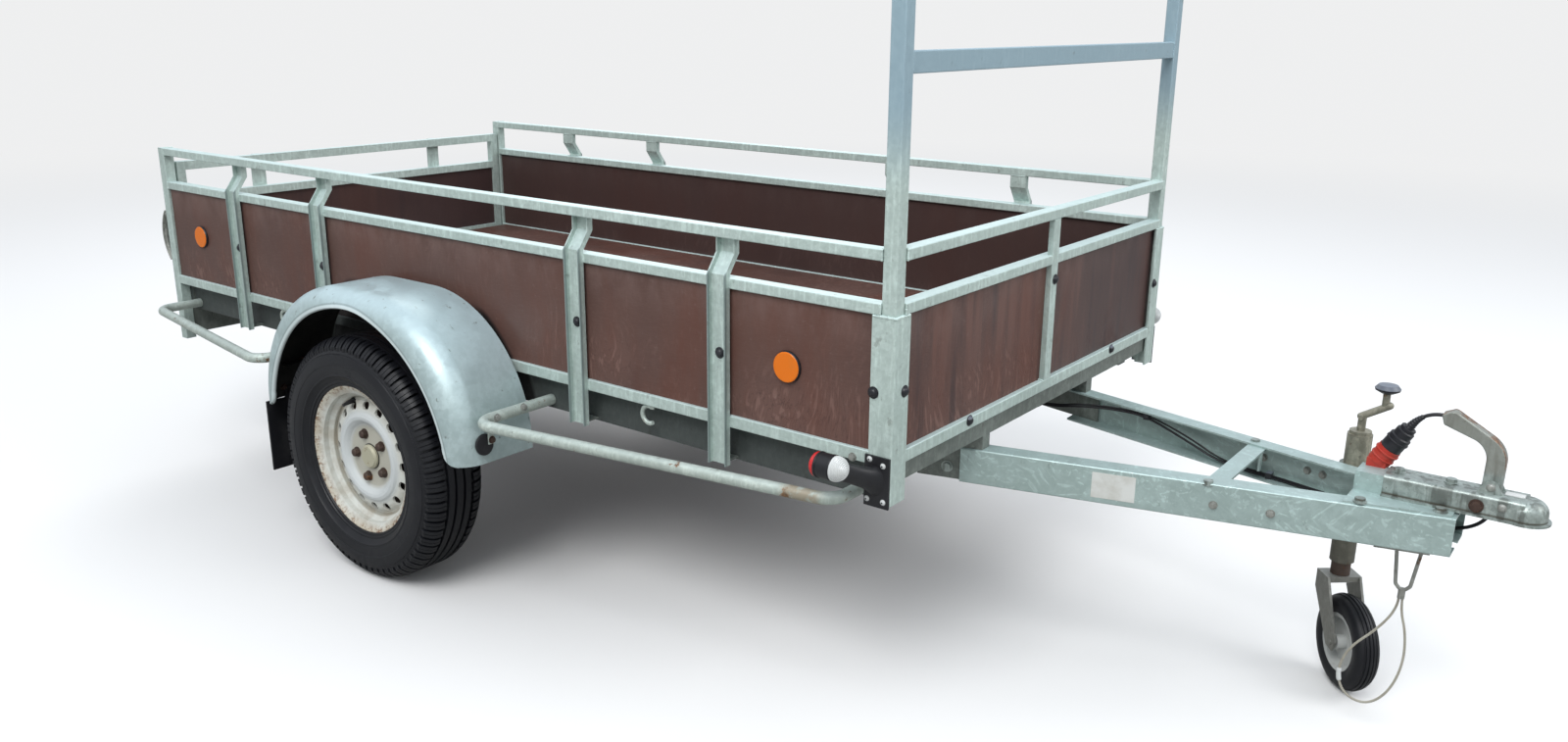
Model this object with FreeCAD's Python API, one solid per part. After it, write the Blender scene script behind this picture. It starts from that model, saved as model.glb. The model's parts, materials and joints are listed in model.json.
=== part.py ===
import FreeCAD, Part
import math
import os

V = FreeCAD.Vector

# Utility trailer in millimetres: +X forward, +Y left, +Z up, ground at z = 0.
# Lengths along X are measured from the rear face of the body and moved to the
# middle of the whole trailer at the end.

# Body
body_length = 2540.0
body_half_width = 635.0
rail_depth = 30.0
bottom_rail_z = (539.0, 564.0)
mid_rail_z = (820.0, 841.0)
top_rail_z = (917.0, 938.0)
panel_thickness = 12.0
panel_set_in = 8.0
floor_z = (550.0, 562.0)
tube_corner = 2.5
fold_radius = 3.5

# Chassis below the body
chassis_z = (460.0, 535.0)
chassis_outer_y = body_half_width - 35.0
chassis_flange = 40.0
chassis_wall = 4.0
chassis_start_x = 30.0
cross_member_width = 40.0
cross_member_depth = 25.0
cross_member_share = (0.25, 0.5, 0.75)
front_member_z = (502.0, 539.0)
front_member_depth = 50.0
front_member_set_in = 8.0
sill_x = (4.0, 44.0)
sill_z = (480.0, 537.0)

# Posts and ladder rack
post_tube = 30.0
corner_angle_leg = 50.0
corner_angle_wall = 4.0
corner_angle_z = (466.0, 817.0)
rear_post_z = (368.0, 938.0)
rack_top_z = 1430.0
rack_bar_height = 38.0
rack_bar_z = (rack_top_z - 158.0 - rack_bar_height, rack_top_z - 158.0)
rack_bar_depth = 22.0
cap_height = 14.0

# Stakes: place as a share of the body's length, and lower end, for each side
stake_table = [
    {"share": 0.1567, "low": 460.0, "bracket": True},
    {"share": 0.3138, "low": 500.5, "bracket": False},
    {"share": 0.6850, "low": 460.0, "bracket": True},
    {"share": 0.8425, "low": 460.0, "bracket": True},
]
stake_width = 46.0
stake_depth = 15.0
stake_sheet = 3.0
bracket_width = 30.0
bracket_sheet = 4.0
stake_shift = 29.0
stake_bend_z = (846.0, 886.0)

# Front wall
front_upright_width = 30.0
front_upright_depth = 12.0

# Tailgate
gate_side_gap = 6.0
gate_half_width = body_half_width - rail_depth - gate_side_gap
gate_z = (545.0, 895.0)
gate_x = (2.0, 28.0)
gate_rail = 25.0
gate_mid_z = (775.0, 798.0)
gate_stake_y = 0.52 * body_half_width
gate_stake_rib = 22.0
hinge_x = -14.0
hinge_z = 540.0
hinge_pin_radius = 6.0
hinge_y = (-0.66 * body_half_width, 0.0, 0.66 * body_half_width)
hinge_sleeve_width = 30.0
hinge_lug_gap = 6.0
hinge_lug = 6.0
hinge_lug_radius = 9.0
pin_clearance = 0.05

# Rear lights below the tailgate
light_bar_x = (18.0, 21.0)
light_bar_z = (380.0, 472.0)
lamp_size = (130.0, 80.0)
lamp_depth = 26.0
lamp_y = body_half_width - 135.0
plate_size = (520.0, 92.0)

# Wheels and axle
axle_x = 0.4622 * body_length
tyre_radius = 298.0
tyre_width = 165.0
wheel_y = body_half_width + 131.0
rim_flange_radius = 182.5
rim_seat_radius = 165.0
rim_half_width = 62.5
nut_face = 27.0
stub_tip = 14.0
bore_radius = 30.0
stub_radius = 20.0
hub_radius = 52.0
beam_x = axle_x + 140.0
beam_side = 60.0
beam_half_length = body_half_width - 45.0
arm_y = (body_half_width - 13.0, body_half_width + 17.0)
arm_width = 54.0
pivot_z = 428.0

# Mudguard
guard_x = axle_x + 25.0
guard_half_length = 395.0
guard_corner = 322.0
guard_top_z = 708.0
guard_foot_z = 375.0
guard_y = (body_half_width + 18.0, body_half_width + 218.0)
guard_shoulder = 60.0
guard_sheet = 3.0
opening_radius = 340.0
opening_z = 334.0
opening_lobe = 38.0
flap_x = guard_x - guard_half_length + guard_sheet + 0.3
flap_y = (body_half_width + 49.0, body_half_width + 206.0)
flap_z = (190.0, 400.0)
flap_thickness = 5.0
stay_z = (462.0, 466.0)
stay_width = 30.0
stay_gap = 0.5

# Side guard tubes
side_tube_radius = 12.5
side_tube_z = 480.0
side_tube_bend = 42.0
front_tube_end = 78.0
front_tube_y = body_half_width + 65.0
rear_tube_end = 70.0
rear_tube_y = body_half_width + 89.0

# Drawbar
drawbar_z = (397.0, 472.0)
drawbar_rear_x = body_length - 50.0
drawbar_front_x = body_length + 832.0
drawbar_root_y = 272.0
drawbar_tip_y = 62.0
drawbar_flange = 45.0
drawbar_wall = 4.0
strap_x = drawbar_front_x - 405.0
strap_width = 38.0
strap_thickness = 5.0
saddle_x = (drawbar_front_x - 182.0, drawbar_front_x - 7.0)
saddle_thickness = 4.0
saddle_hat = 28.5
saddle_hat_height = 40.5
data_plate_x = (drawbar_front_x - 621.0, drawbar_front_x - 539.0)
data_plate_z = (409.0, 462.0)
data_plate_sheet = 0.8

# Coupling for a ball of 50 mm
ball_x = drawbar_front_x + 98.0
ball_z = 484.0
ball_radius = 25.0
socket_clearance = 0.4
coupling_rear_x = drawbar_front_x - 132.0
coupling_half_width = 33.0
coupling_wall = 4.0
coupling_top_z = 517.0
coupling_lip = 6.0
coupling_lip_height = 4.0
nose_radius = 36.0
nose_block = 34.0
handle_half_width = 13.0
handle_edge = 3.0
ear_thickness = 4.0
ear_radius = 13.0
ear_up = 11.0
seat_gap = 0.3
# Handle outline: forward of the ball's middle, above the coupling's top, and corner radius
handle_table = [
    {"ahead": -74.0, "up": 0.0, "round": 0.0},
    {"ahead": -42.0, "up": 0.0, "round": 0.0},
    {"ahead": -41.5, "up": 84.0, "round": 52.0},
    {"ahead": -134.0, "up": 137.5, "round": 9.0},
    {"ahead": -155.0, "up": 128.0, "round": 5.0},
    {"ahead": -149.0, "up": 109.0, "round": 5.0},
    {"ahead": -73.0, "up": 83.0, "round": 38.0},
]

# Jockey wheel
jockey_x = drawbar_front_x - 217.0
jockey_beam_gap = 34.0
jockey_turn = -50.0
jockey_offset = 65.0
jockey_wheel_radius = 100.0
jockey_wheel_width = 48.0
jockey_axle_radius = 6.0
fork_gap = 7.0
fork_plate = 5.0
crown_gap = 12.0
crown_thickness = 12.0
crown_z = (2.0 * jockey_wheel_radius + crown_gap, 2.0 * jockey_wheel_radius + crown_gap + crown_thickness)
jockey_tube_radius = 24.0
jockey_tube_z = (crown_z[1] + 30.0, drawbar_z[1] + 58.0)
jockey_stem_radius = 19.0
jockey_stem_top_z = jockey_tube_z[1] - 50.0
swivel_radius = 8.0
swivel_length = 22.0
clamp_z = (drawbar_z[0] + 21.0, drawbar_z[1] - 6.0)
clamp_wall = 7.0
clamp_half_length = 46.0
knob_radius = 24.0
knob_ahead = 42.0
crank_arm_radius = 7.5

# Small parts
reflector_radius = 30.0
reflector_depth = 8.0
reflector_table = [
    {"x": body_length - 241.0, "z": 688.0},
    {"x": 182.0, "z": 695.0},
]
hook_radius = 4.0
hook_share = (0.2264, 0.7614)
soft_gap = 0.3
marker_plate_x = (body_length - 54.0, body_length - 1.0)
marker_plate_z = (461.0, 559.0)
marker_body_x = (body_length - 84.0, body_length - 50.0)
marker_radius = 23.5
marker_y = body_half_width + 105.0
marker_z = 561.0
marker_lens = 25.0
marker_red_lens = 16.0
# Rubber arm: share of the way out from the plate, and its height and thickness there
marker_arm_table = [
    {"share": 0.0, "tall": 62.0, "thick": 46.0},
    {"share": 0.12, "tall": 50.0, "thick": 36.0},
    {"share": 0.45, "tall": 40.0, "thick": 25.0},
    {"share": 1.0, "tall": 32.0, "thick": 18.0},
]

# Cables
plug_cable_radius = 3.5
loom_radius = 4.5
safety_cable_radius = 2.5
clip_size = 12.0


def box(x, y, z):
    """Box from three (low, high) pairs."""
    size = V(x[1] - x[0], y[1] - y[0], z[1] - z[0])
    return Part.makeBox(size.x, size.y, size.z, V(x[0], y[0], z[0]))


def square_tube(x, y, z):
    """Box whose four longest edges are rounded, as on a drawn tube."""
    solid = box(x, y, z)
    longest = max(edge.Length for edge in solid.Edges)
    return solid.makeFillet(tube_corner, [edge for edge in solid.Edges if edge.Length > longest - 0.1])


def rod(start, end, radius):
    """Round bar between two points."""
    start = V(*start)
    end = V(*end)
    return Part.makeCylinder(radius, (end - start).Length, start, end - start)


def fuse(shapes):
    """One solid from pieces that touch or overlap."""
    return shapes[0].multiFuse(shapes[1:]).removeSplitter()


def group(shapes):
    """Several solids that share a node."""
    return Part.makeCompound(shapes)


def mirrored(shape):
    """The same piece on the other side of the trailer."""
    return shape.mirror(V(0, 0, 0), V(0, 1, 0))


def both_sides(shapes):
    """Pieces of the right side and their mirror images."""
    return shapes + [mirrored(shape) for shape in shapes]


def slab(points, start, direction):
    """Prism of a polygon given as 3-D points, pushed along a direction."""
    corners = [V(*point) for point in points]
    face = Part.Face(Part.makePolygon(corners + corners[:1]))
    return face.extrude(V(*direction)).translated(V(*start))


def slab_xz(points, y):
    """Prism across the trailer: polygon of (x, z) between two y values."""
    return slab([(px, y[0], pz) for px, pz in points], (0, 0, 0), (0, y[1] - y[0], 0))


def round_corner(shape, point, radius):
    """Round the edge that runs across the trailer at (x, z)."""
    chosen = []
    for edge in shape.Edges:
        middle = edge.BoundBox.Center
        across_only = edge.BoundBox.XLength < 0.1 and edge.BoundBox.ZLength < 0.1
        if across_only and abs(middle.x - point[0]) < 0.1 and abs(middle.z - point[1]) < 0.1:
            chosen.append(edge)
    return shape.makeFillet(radius, chosen)


def slab_xy(points, z):
    """Flat plate: polygon of (x, y) between two heights."""
    return slab([(px, py, z[0]) for px, py in points], (0, 0, 0), (0, 0, z[1] - z[0]))


def turned(points, centre, axis):
    """Solid of revolution: polygon of (radius, along) about an axis through centre."""
    corners = [V(radius, 0, along) for radius, along in points]
    face = Part.Face(Part.makePolygon(corners + corners[:1]))
    solid = face.revolve(V(0, 0, 0), V(0, 0, 1), 360)
    solid.Placement = FreeCAD.Placement(V(*centre), FreeCAD.Rotation(V(0, 0, 1), V(*axis)))
    return solid


def run_wire(points, bends=None):
    """Straight runs joined by tangent arcs. Also returns the arc radii."""
    corners = [V(*point) for point in points]
    edges = []
    radii = []
    last = corners[0]
    for index in range(1, len(corners) - 1):
        before = corners[index - 1]
        here = corners[index]
        after = corners[index + 1]
        inward = (here - before).normalize()
        onward = (after - here).normalize()
        half_turn = inward.getAngle(onward) / 2.0
        if bends is None:
            shorter = min((here - before).Length, (after - here).Length)
            radius = 0.45 * shorter / math.tan(half_turn)
        else:
            radius = bends
        reach = radius * math.tan(half_turn)
        arc_start = here - inward * reach
        arc_end = here + onward * reach
        to_middle = (onward - inward).normalize()
        sagitta = radius / math.cos(half_turn) - radius
        arc_middle = here + to_middle * sagitta
        edges.append(Part.LineSegment(last, arc_start).toShape())
        edges.append(Part.Arc(arc_start, arc_middle, arc_end).toShape())
        radii.append(radius)
        last = arc_end
    edges.append(Part.LineSegment(last, corners[-1]).toShape())
    return Part.Wire(edges), radii


def tube_along(points, radius, bends=None, name=None):
    """Round bar swept along straight runs and arcs."""
    wire, radii = run_wire(points, bends)
    start = V(*points[0])
    circle = Part.Circle(start, V(*points[1]) - start, radius).toShape()
    solid = wire.makePipeShell([Part.Wire([circle])], True, False)
    if name:
        least = min(radii)
        section = math.pi * radius * radius
        share = solid.Volume / (section * wire.Length)
        print(name, "length", round(wire.Length), "least bend", round(least, 1), "volume share", round(share, 4))
    return solid


parts = {}


# Chassis: two folded rails, cross members, rear sill and front member
def chassis_rail():
    outer = -chassis_outer_y
    length = (chassis_start_x, body_length - front_member_depth - front_member_set_in)
    web = box(length, (outer, outer + chassis_wall), chassis_z)
    low = box(length, (outer, outer + chassis_flange), (chassis_z[0], chassis_z[0] + chassis_wall))
    high = box(length, (outer, outer + chassis_flange), (chassis_z[1] - chassis_wall, chassis_z[1]))
    return fuse([web, low, high])


inner_y = body_half_width - rail_depth
web_y = chassis_outer_y - chassis_wall
front_rail_y = body_half_width - corner_angle_wall - post_tube
cross_member_x = [share * body_length for share in cross_member_share]
chassis_pieces = both_sides([chassis_rail()])
for centre in cross_member_x:
    span = (centre - cross_member_width / 2.0, centre + cross_member_width / 2.0)
    chassis_pieces.append(box(span, (-inner_y, inner_y), (chassis_z[1], floor_z[0])))
    chassis_pieces.append(box(span, (-web_y, web_y), (chassis_z[1] - cross_member_depth, chassis_z[1])))
chassis_pieces.append(box(sill_x, (-inner_y, inner_y), sill_z))
front_face_x = body_length - front_member_set_in
front_span = (front_face_x - front_member_depth, front_face_x)
chassis_pieces.append(box(front_span, (-front_rail_y, front_rail_y), front_member_z))
parts["chassis_frame"] = fuse(chassis_pieces)

# Load floor
floor_x = (sill_x[1] + 2.0, body_length - corner_angle_wall - post_tube)
parts["floor_board"] = box(floor_x, (-inner_y, inner_y), floor_z)

# Side rails: the lower one is notched for the corner angle
tube_rear_x = body_length - corner_angle_wall - post_tube
angle_rear_x = body_length - corner_angle_leg
skin_y = -body_half_width + corner_angle_wall
side_rails = []
lower_long = square_tube((rail_depth, angle_rear_x), (-body_half_width, -inner_y), bottom_rail_z)
lower_end = box((angle_rear_x, tube_rear_x), (skin_y, -inner_y), bottom_rail_z)
side_rails.append(fuse([lower_long, lower_end]))
side_rails.append(square_tube((rail_depth, tube_rear_x), (-body_half_width, -inner_y), mid_rail_z))
side_rails.append(square_tube((rail_depth, tube_rear_x), (-body_half_width, -inner_y), top_rail_z))
parts["side_rails"] = group(both_sides(side_rails))

# Side panels of brown board
panel_y = body_half_width - panel_set_in
side_panel_length = (rail_depth + 1.0, tube_rear_x)
side_panel = box(side_panel_length, (-panel_y, -panel_y + panel_thickness), (bottom_rail_z[1], mid_rail_z[0]))
parts["side_panels"] = group(both_sides([side_panel]))


# Stakes: folded channels, open outward, with a step inward above the middle rail
def stake(centre, low, high, back_y):
    """Channel whose back lies at back_y up to the step."""
    half = stake_width / 2.0
    web = half - stake_sheet
    outline = [
        (-half, 0.0),
        (-half, -stake_depth),
        (-web, -stake_depth),
        (-web, -stake_sheet),
        (web, -stake_sheet),
        (web, -stake_depth),
        (half, -stake_depth),
        (half, 0.0),
    ]
    levels = [
        (low, 0.0),
        (stake_bend_z[0], 0.0),
        (stake_bend_z[1], stake_shift),
        (high, stake_shift),
    ]
    pieces = []
    for lower, upper in zip(levels[:-1], levels[1:]):
        corners = [V(centre + px, back_y + py + lower[1], lower[0]) for px, py in outline]
        face = Part.Face(Part.makePolygon(corners + corners[:1]))
        pieces.append(face.extrude(V(0, upper[1] - lower[1], upper[0] - lower[0])))
    return fuse(pieces)


stakes = []
brackets = []
for row in stake_table:
    centre = row["share"] * body_length
    stakes.append(stake(centre, row["low"], top_rail_z[0], -body_half_width))
    if row["bracket"]:
        span = (centre - bracket_width / 2.0, centre + bracket_width / 2.0)
        height = (row["low"] + bracket_sheet, row["low"] + 2.0 * bracket_sheet)
        brackets.append(box(span, (-body_half_width, -chassis_outer_y), height))
parts["side_stakes"] = group(both_sides(stakes))
parts["stake_brackets"] = group(both_sides(brackets))

# Front wall: three rails, centre upright and two boards
front_rail_x = (body_length - rail_depth, body_length)
angle_edge_y = body_half_width - corner_angle_leg
upright_x = (body_length - front_upright_depth, body_length)
half_upright = front_upright_width / 2.0
low_front = fuse([
    box((front_rail_x[0], body_length - corner_angle_wall), (-front_rail_y, front_rail_y), bottom_rail_z),
    square_tube(front_rail_x, (-angle_edge_y, angle_edge_y), bottom_rail_z),
])
front_frame = [
    low_front,
    square_tube(front_rail_x, (-front_rail_y, front_rail_y), mid_rail_z),
    square_tube(front_rail_x, (-front_rail_y, front_rail_y), top_rail_z),
    box(upright_x, (-half_upright, half_upright), (bottom_rail_z[1], top_rail_z[0])),
]
parts["front_frame"] = fuse(front_frame)
board_x = (upright_x[0] - panel_thickness, upright_x[0])
front_board = box(board_x, (-front_rail_y, -0.5), (bottom_rail_z[1], mid_rail_z[0]))
parts["front_panels"] = group(both_sides([front_board]))

# Corner angles wrapped round the feet of the ladder rack
angle_side = box((angle_rear_x, body_length), (-body_half_width, skin_y), corner_angle_z)
angle_front = box((body_length - corner_angle_wall, body_length), (-body_half_width, -angle_edge_y), corner_angle_z)
corner_angle = fuse([angle_side, angle_front])
folded = []
for edge in corner_angle.Edges:
    middle = edge.BoundBox.Center
    if edge.Length > 300.0 and abs(middle.x - body_length) < 0.1 and abs(middle.y + body_half_width) < 0.1:
        folded.append(edge)
corner_angle = corner_angle.makeFillet(fold_radius, folded)
parts["corner_angles"] = group(both_sides([corner_angle]))

# Ladder rack: two uprights with a cross bar, and their end caps
upright = square_tube((tube_rear_x, body_length - corner_angle_wall), (skin_y, skin_y + post_tube), (corner_angle_z[0], rack_top_z))
bar_x = (body_length - corner_angle_wall - rack_bar_depth - 2.0, body_length - corner_angle_wall - 2.0)
rack_bar = square_tube(bar_x, (-front_rail_y - 4.0, front_rail_y + 4.0), rack_bar_z)
parts["ladder_rack"] = fuse(both_sides([upright]) + [rack_bar])
cap = box((tube_rear_x - 1.0, body_length - corner_angle_wall + 1.0), (skin_y - 1.0, skin_y + post_tube + 1.0), (rack_top_z, rack_top_z + cap_height))
cap = cap.makeFillet(5.0, [edge for edge in cap.Edges if edge.BoundBox.ZMin > rack_top_z + 1.0])
parts["rack_caps"] = group(both_sides([cap]))

# Rear posts
rear_post = square_tube((0.0, post_tube), (-body_half_width, -inner_y), rear_post_z)
parts["rear_posts"] = group(both_sides([rear_post]))

# Tailgate frame with its stakes and hinge sleeves
gate_low_z = (gate_z[0], gate_z[0] + gate_rail)
gate_top_z = (gate_z[1] - gate_rail, gate_z[1])
gate_pieces = [
    box(gate_x, (-gate_half_width, gate_half_width), gate_low_z),
    box(gate_x, (-gate_half_width, gate_half_width), gate_mid_z),
    box(gate_x, (-gate_half_width, gate_half_width), gate_top_z),
]
for side in (-1.0, 1.0):
    edge_y = sorted((side * gate_half_width, side * (gate_half_width - gate_rail)))
    gate_pieces.append(box(gate_x, edge_y, gate_z))
    stake_y = (side * gate_stake_y - stake_width / 2.0, side * gate_stake_y + stake_width / 2.0)
    rib_y = (side * gate_stake_y - gate_stake_rib / 2.0, side * gate_stake_y + gate_stake_rib / 2.0)
    gate_pieces.append(box((gate_x[0] - stake_sheet, gate_x[0]), stake_y, gate_z))
    gate_pieces.append(box((gate_x[0] - stake_depth, gate_x[0] - stake_sheet), rib_y, (gate_z[0] + 8.0, gate_z[1])))
for centre in hinge_y:
    span = (centre - hinge_sleeve_width / 2.0, centre + hinge_sleeve_width / 2.0)
    sleeve_radius = hinge_pin_radius + 5.0
    sleeve = rod((hinge_x, span[0], hinge_z), (hinge_x, span[1], hinge_z), sleeve_radius)
    leaf = slab_xz([
        (hinge_x - 4.0, hinge_z + 8.0),
        (hinge_x + 8.0, hinge_z + 2.0),
        (gate_x[0], gate_low_z[0] + 2.0),
        (gate_x[0], gate_low_z[1]),
        (gate_x[0] - 5.0, gate_low_z[1]),
    ], span)
    hole = rod((hinge_x, span[0] - 1.0, hinge_z), (hinge_x, span[1] + 1.0, hinge_z), hinge_pin_radius + pin_clearance)
    gate_pieces.append(sleeve.fuse(leaf).cut(hole))
parts["tailgate_frame"] = fuse(gate_pieces)
gate_board_x = (gate_x[0] + 6.0, gate_x[0] + 6.0 + panel_thickness)
gate_board_y = gate_half_width - gate_rail
parts["tailgate_panel"] = box(gate_board_x, (-gate_board_y, gate_board_y), (gate_low_z[1], gate_mid_z[0]))

# Hinge pins and lugs on the rear sill
hinge_solids = []
for centre in hinge_y:
    half = hinge_sleeve_width / 2.0 + hinge_lug_gap
    reach = half + hinge_lug
    pieces = [rod((hinge_x, centre - reach, hinge_z), (hinge_x, centre + reach, hinge_z), hinge_pin_radius)]
    for low_y in (centre - reach, centre + half):
        pieces.append(rod((hinge_x, low_y, hinge_z), (hinge_x, low_y + hinge_lug, hinge_z), hinge_lug_radius))
        pieces.append(slab_xz([
            (sill_x[0], sill_z[0] + 20.0),
            (sill_x[0], sill_z[1] - 2.0),
            (hinge_x + 4.0, hinge_z + 7.0),
            (hinge_x - 6.0, hinge_z - 6.0),
        ], (low_y, low_y + hinge_lug)))
    hinge_solids.append(fuse(pieces))
parts["tailgate_hinges"] = group(hinge_solids)


# Latches on the rear posts: plate, curved lever and hook ring
latch_y = -body_half_width + 15.0
latch_z = (600.0, 770.0)
latch_sheet = 4.0


def latch():
    plate = box((-latch_sheet, 0.0), (latch_y - 12.0, latch_y + 12.0), latch_z)
    pivot = rod((-latch_sheet, latch_y, latch_z[1] - 28.0), (-26.0, latch_y, latch_z[1] - 28.0), 9.0)
    lever = tube_along([
        (-18.0, latch_y, latch_z[1] - 22.0),
        (-46.0, latch_y, latch_z[1] - 55.0),
        (-42.0, latch_y, latch_z[0] + 50.0),
        (-26.0, latch_y, latch_z[0] + 6.0),
    ], 5.0, 26.0)
    stop = rod((-latch_sheet, latch_y, latch_z[0] + 15.0), (-16.0, latch_y, latch_z[0] + 15.0), 6.0)
    return fuse([plate, pivot, lever, stop])


parts["tail_latches"] = group(both_sides([latch()]))

# Rear light bar, lamps and blank plate holder
bar_y = inner_y
light_bar = box(light_bar_x, (-bar_y, bar_y), light_bar_z)
light_lip = box((light_bar_x[0] - 12.0, light_bar_x[1]), (-bar_y, bar_y), (light_bar_z[1] - 3.0, light_bar_z[1]))
bar_hanger = box((light_bar_x[1], light_bar_x[1] + 4.0), (-bar_y + 60.0, -bar_y + 100.0), (light_bar_z[0] + 30.0, sill_z[0]))
parts["light_bar"] = fuse([light_bar, light_lip] + both_sides([bar_hanger]))
lamp_x = (light_bar_x[0] - lamp_depth, light_bar_x[0])
lamp_z = (light_bar_z[0] + 4.0, light_bar_z[0] + 4.0 + lamp_size[1])
lamp = box(lamp_x, (-lamp_y - lamp_size[0] / 2.0, -lamp_y + lamp_size[0] / 2.0), lamp_z)
lamp = lamp.makeFillet(7.0, [edge for edge in lamp.Edges if edge.BoundBox.XMax < lamp_x[0] + 1.0])
parts["rear_lamps"] = group(both_sides([lamp]))
holder_z = (light_bar_z[0] - 6.0, light_bar_z[0] - 6.0 + plate_size[1])
parts["plate_holder"] = box((light_bar_x[0] - 4.0, light_bar_x[0]), (-plate_size[0] / 2.0, plate_size[0] / 2.0), holder_z)


# Mudguard: outer shell less inner shell, with the wheel opening cut in the side
def arch(inset, y, shoulder):
    """Solid arch of the mudguard's outline, made smaller by inset."""
    half = guard_half_length - inset
    corner = guard_corner - inset
    top = guard_top_z - inset
    low = guard_foot_z - inset
    flat = half - corner
    mid_z = top - corner
    slope = math.sqrt(0.5) * corner
    points = {
        "a": V(guard_x - half, y[0], low),
        "b": V(guard_x - half, y[0], mid_z),
        "c": V(guard_x - flat - slope, y[0], mid_z + slope),
        "d": V(guard_x - flat, y[0], top),
        "e": V(guard_x + flat, y[0], top),
        "f": V(guard_x + flat + slope, y[0], mid_z + slope),
        "g": V(guard_x + half, y[0], mid_z),
        "h": V(guard_x + half, y[0], low),
    }
    edges = [
        Part.LineSegment(points["a"], points["b"]).toShape(),
        Part.Arc(points["b"], points["c"], points["d"]).toShape(),
        Part.LineSegment(points["d"], points["e"]).toShape(),
        Part.Arc(points["e"], points["f"], points["g"]).toShape(),
        Part.LineSegment(points["g"], points["h"]).toShape(),
        Part.LineSegment(points["h"], points["a"]).toShape(),
    ]
    solid = Part.Face(Part.Wire(edges)).extrude(V(0, y[1] - y[0], 0))
    rounded = []
    for edge in solid.Edges:
        bounds = edge.BoundBox
        on_outside = abs(bounds.YMin - y[1]) < 0.1 and abs(bounds.YMax - y[1]) < 0.1
        if on_outside and bounds.ZMax > low + 1.0:
            rounded.append(edge)
    return solid.makeFillet(shoulder, rounded)


def lobe_cut(side):
    """What rounds the foot of the side wall where the wheel opening meets its lower edge."""
    rise = guard_foot_z - opening_z + opening_lobe
    reach = math.sqrt(opening_radius * opening_radius - rise * rise)
    start = guard_x + side * (reach - 1.0)
    middle_x = guard_x + side * (reach + opening_lobe - 1.5)
    middle_z = guard_foot_z + opening_lobe
    depth = (-guard_y[1] - 1.0, -guard_y[1] + guard_shoulder - 1.0)
    corner = box(sorted((start - side * 30.0, middle_x)), depth, (guard_foot_z - 1.0, middle_z))
    rounding = rod((middle_x, depth[0] - 1.0, middle_z), (middle_x, depth[1] + 1.0, middle_z), opening_lobe)
    return corner.cut(rounding)


def mudguard():
    outer = arch(0.0, (-guard_y[0], -guard_y[1]), guard_shoulder)
    inner = arch(guard_sheet, (-guard_y[0] + 1.0, -guard_y[1] + guard_sheet), guard_shoulder - guard_sheet)
    opening = rod((guard_x, -guard_y[1] - 1.0, opening_z), (guard_x, -guard_y[1] + guard_shoulder - 1.0, opening_z), opening_radius)
    return outer.cut(inner).cut(opening).cut(lobe_cut(1.0)).cut(lobe_cut(-1.0))


parts["mudguard_right"] = mudguard()
parts["mudguard_left"] = mirrored(parts["mudguard_right"])

# Rubber flaps behind the wheels
flap_edge_y = guard_y[1] - guard_shoulder - 4.0
flap_step_z = guard_foot_z - 1.0
flap_points = [
    (-flap_y[0], flap_z[1]),
    (-flap_edge_y, flap_z[1]),
    (-flap_edge_y, flap_step_z),
    (-flap_y[1], flap_step_z),
    (-flap_y[1], flap_z[0]),
    (-flap_y[0], flap_z[0]),
]
flap = slab([(flap_x, py, pz) for py, pz in flap_points], (0, 0, 0), (flap_thickness, 0, 0))
parts["mudflaps"] = group(both_sides([flap]))


# Stays that carry the mudguards, from the chassis rails
def guard_inner_half(z):
    """Half the length inside the mudguard at a height below its crown."""
    corner = guard_corner - guard_sheet
    rise = max(0.0, z - (guard_top_z - guard_corner))
    return guard_half_length - guard_corner + math.sqrt(corner * corner - rise * rise)


stays = []
stay_reach = guard_inner_half(stay_z[1]) - stay_gap
for low_x in (guard_x - stay_reach, guard_x + stay_reach - stay_width):
    stays.append(box((low_x, low_x + stay_width), (-guard_y[1] + 60.0, -chassis_outer_y), stay_z))
parts["mudguard_stays"] = group(both_sides(stays))

# Side guard tubes before and behind each mudguard
front_leg_x = guard_x + guard_half_length + side_tube_radius + 0.5
rear_leg_x = guard_x - guard_half_length - side_tube_radius - 0.5
tube_root_y = -chassis_outer_y - soft_gap
front_end_x = body_length - front_tube_end
front_tube = tube_along([
    (front_leg_x, tube_root_y, side_tube_z),
    (front_leg_x, -guard_y[1] + 27.0, side_tube_z),
    (front_end_x, -front_tube_y, side_tube_z),
    (front_end_x, tube_root_y, side_tube_z),
], side_tube_radius, side_tube_bend)
rear_tube = tube_along([
    (rear_tube_end, tube_root_y, side_tube_z),
    (rear_tube_end, -rear_tube_y, side_tube_z),
    (rear_leg_x, -guard_y[1] + 7.0, side_tube_z),
    (rear_leg_x, tube_root_y, side_tube_z),
], side_tube_radius, side_tube_bend)
parts["side_guards"] = group(both_sides([front_tube, rear_tube]))

# Tie hooks under the lower rails
hooks = []
hook_y = body_half_width - 13.0
hook_low = bottom_rail_z[0] - 41.0
for share in hook_share:
    centre = share * body_length
    hooks.append(tube_along([
        (centre, -hook_y, bottom_rail_z[0] - soft_gap),
        (centre, -hook_y, hook_low),
        (centre, -hook_y - 18.0, hook_low - 4.0),
        (centre, -hook_y - 28.0, hook_low + 14.0),
    ], hook_radius, 7.0))
parts["tie_hooks"] = group(both_sides(hooks))

# Round reflectors on the side panels
reflectors = []
for row in reflector_table:
    back = (row["x"], -panel_y - soft_gap, row["z"])
    front = (row["x"], -panel_y - soft_gap - reflector_depth, row["z"])
    disc = rod(back, front, reflector_radius)
    disc = disc.makeFillet(2.5, [edge for edge in disc.Edges if edge.BoundBox.YMax < front[1] + 0.1])
    reflectors.append(disc)
parts["reflectors"] = group(both_sides(reflectors))

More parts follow.
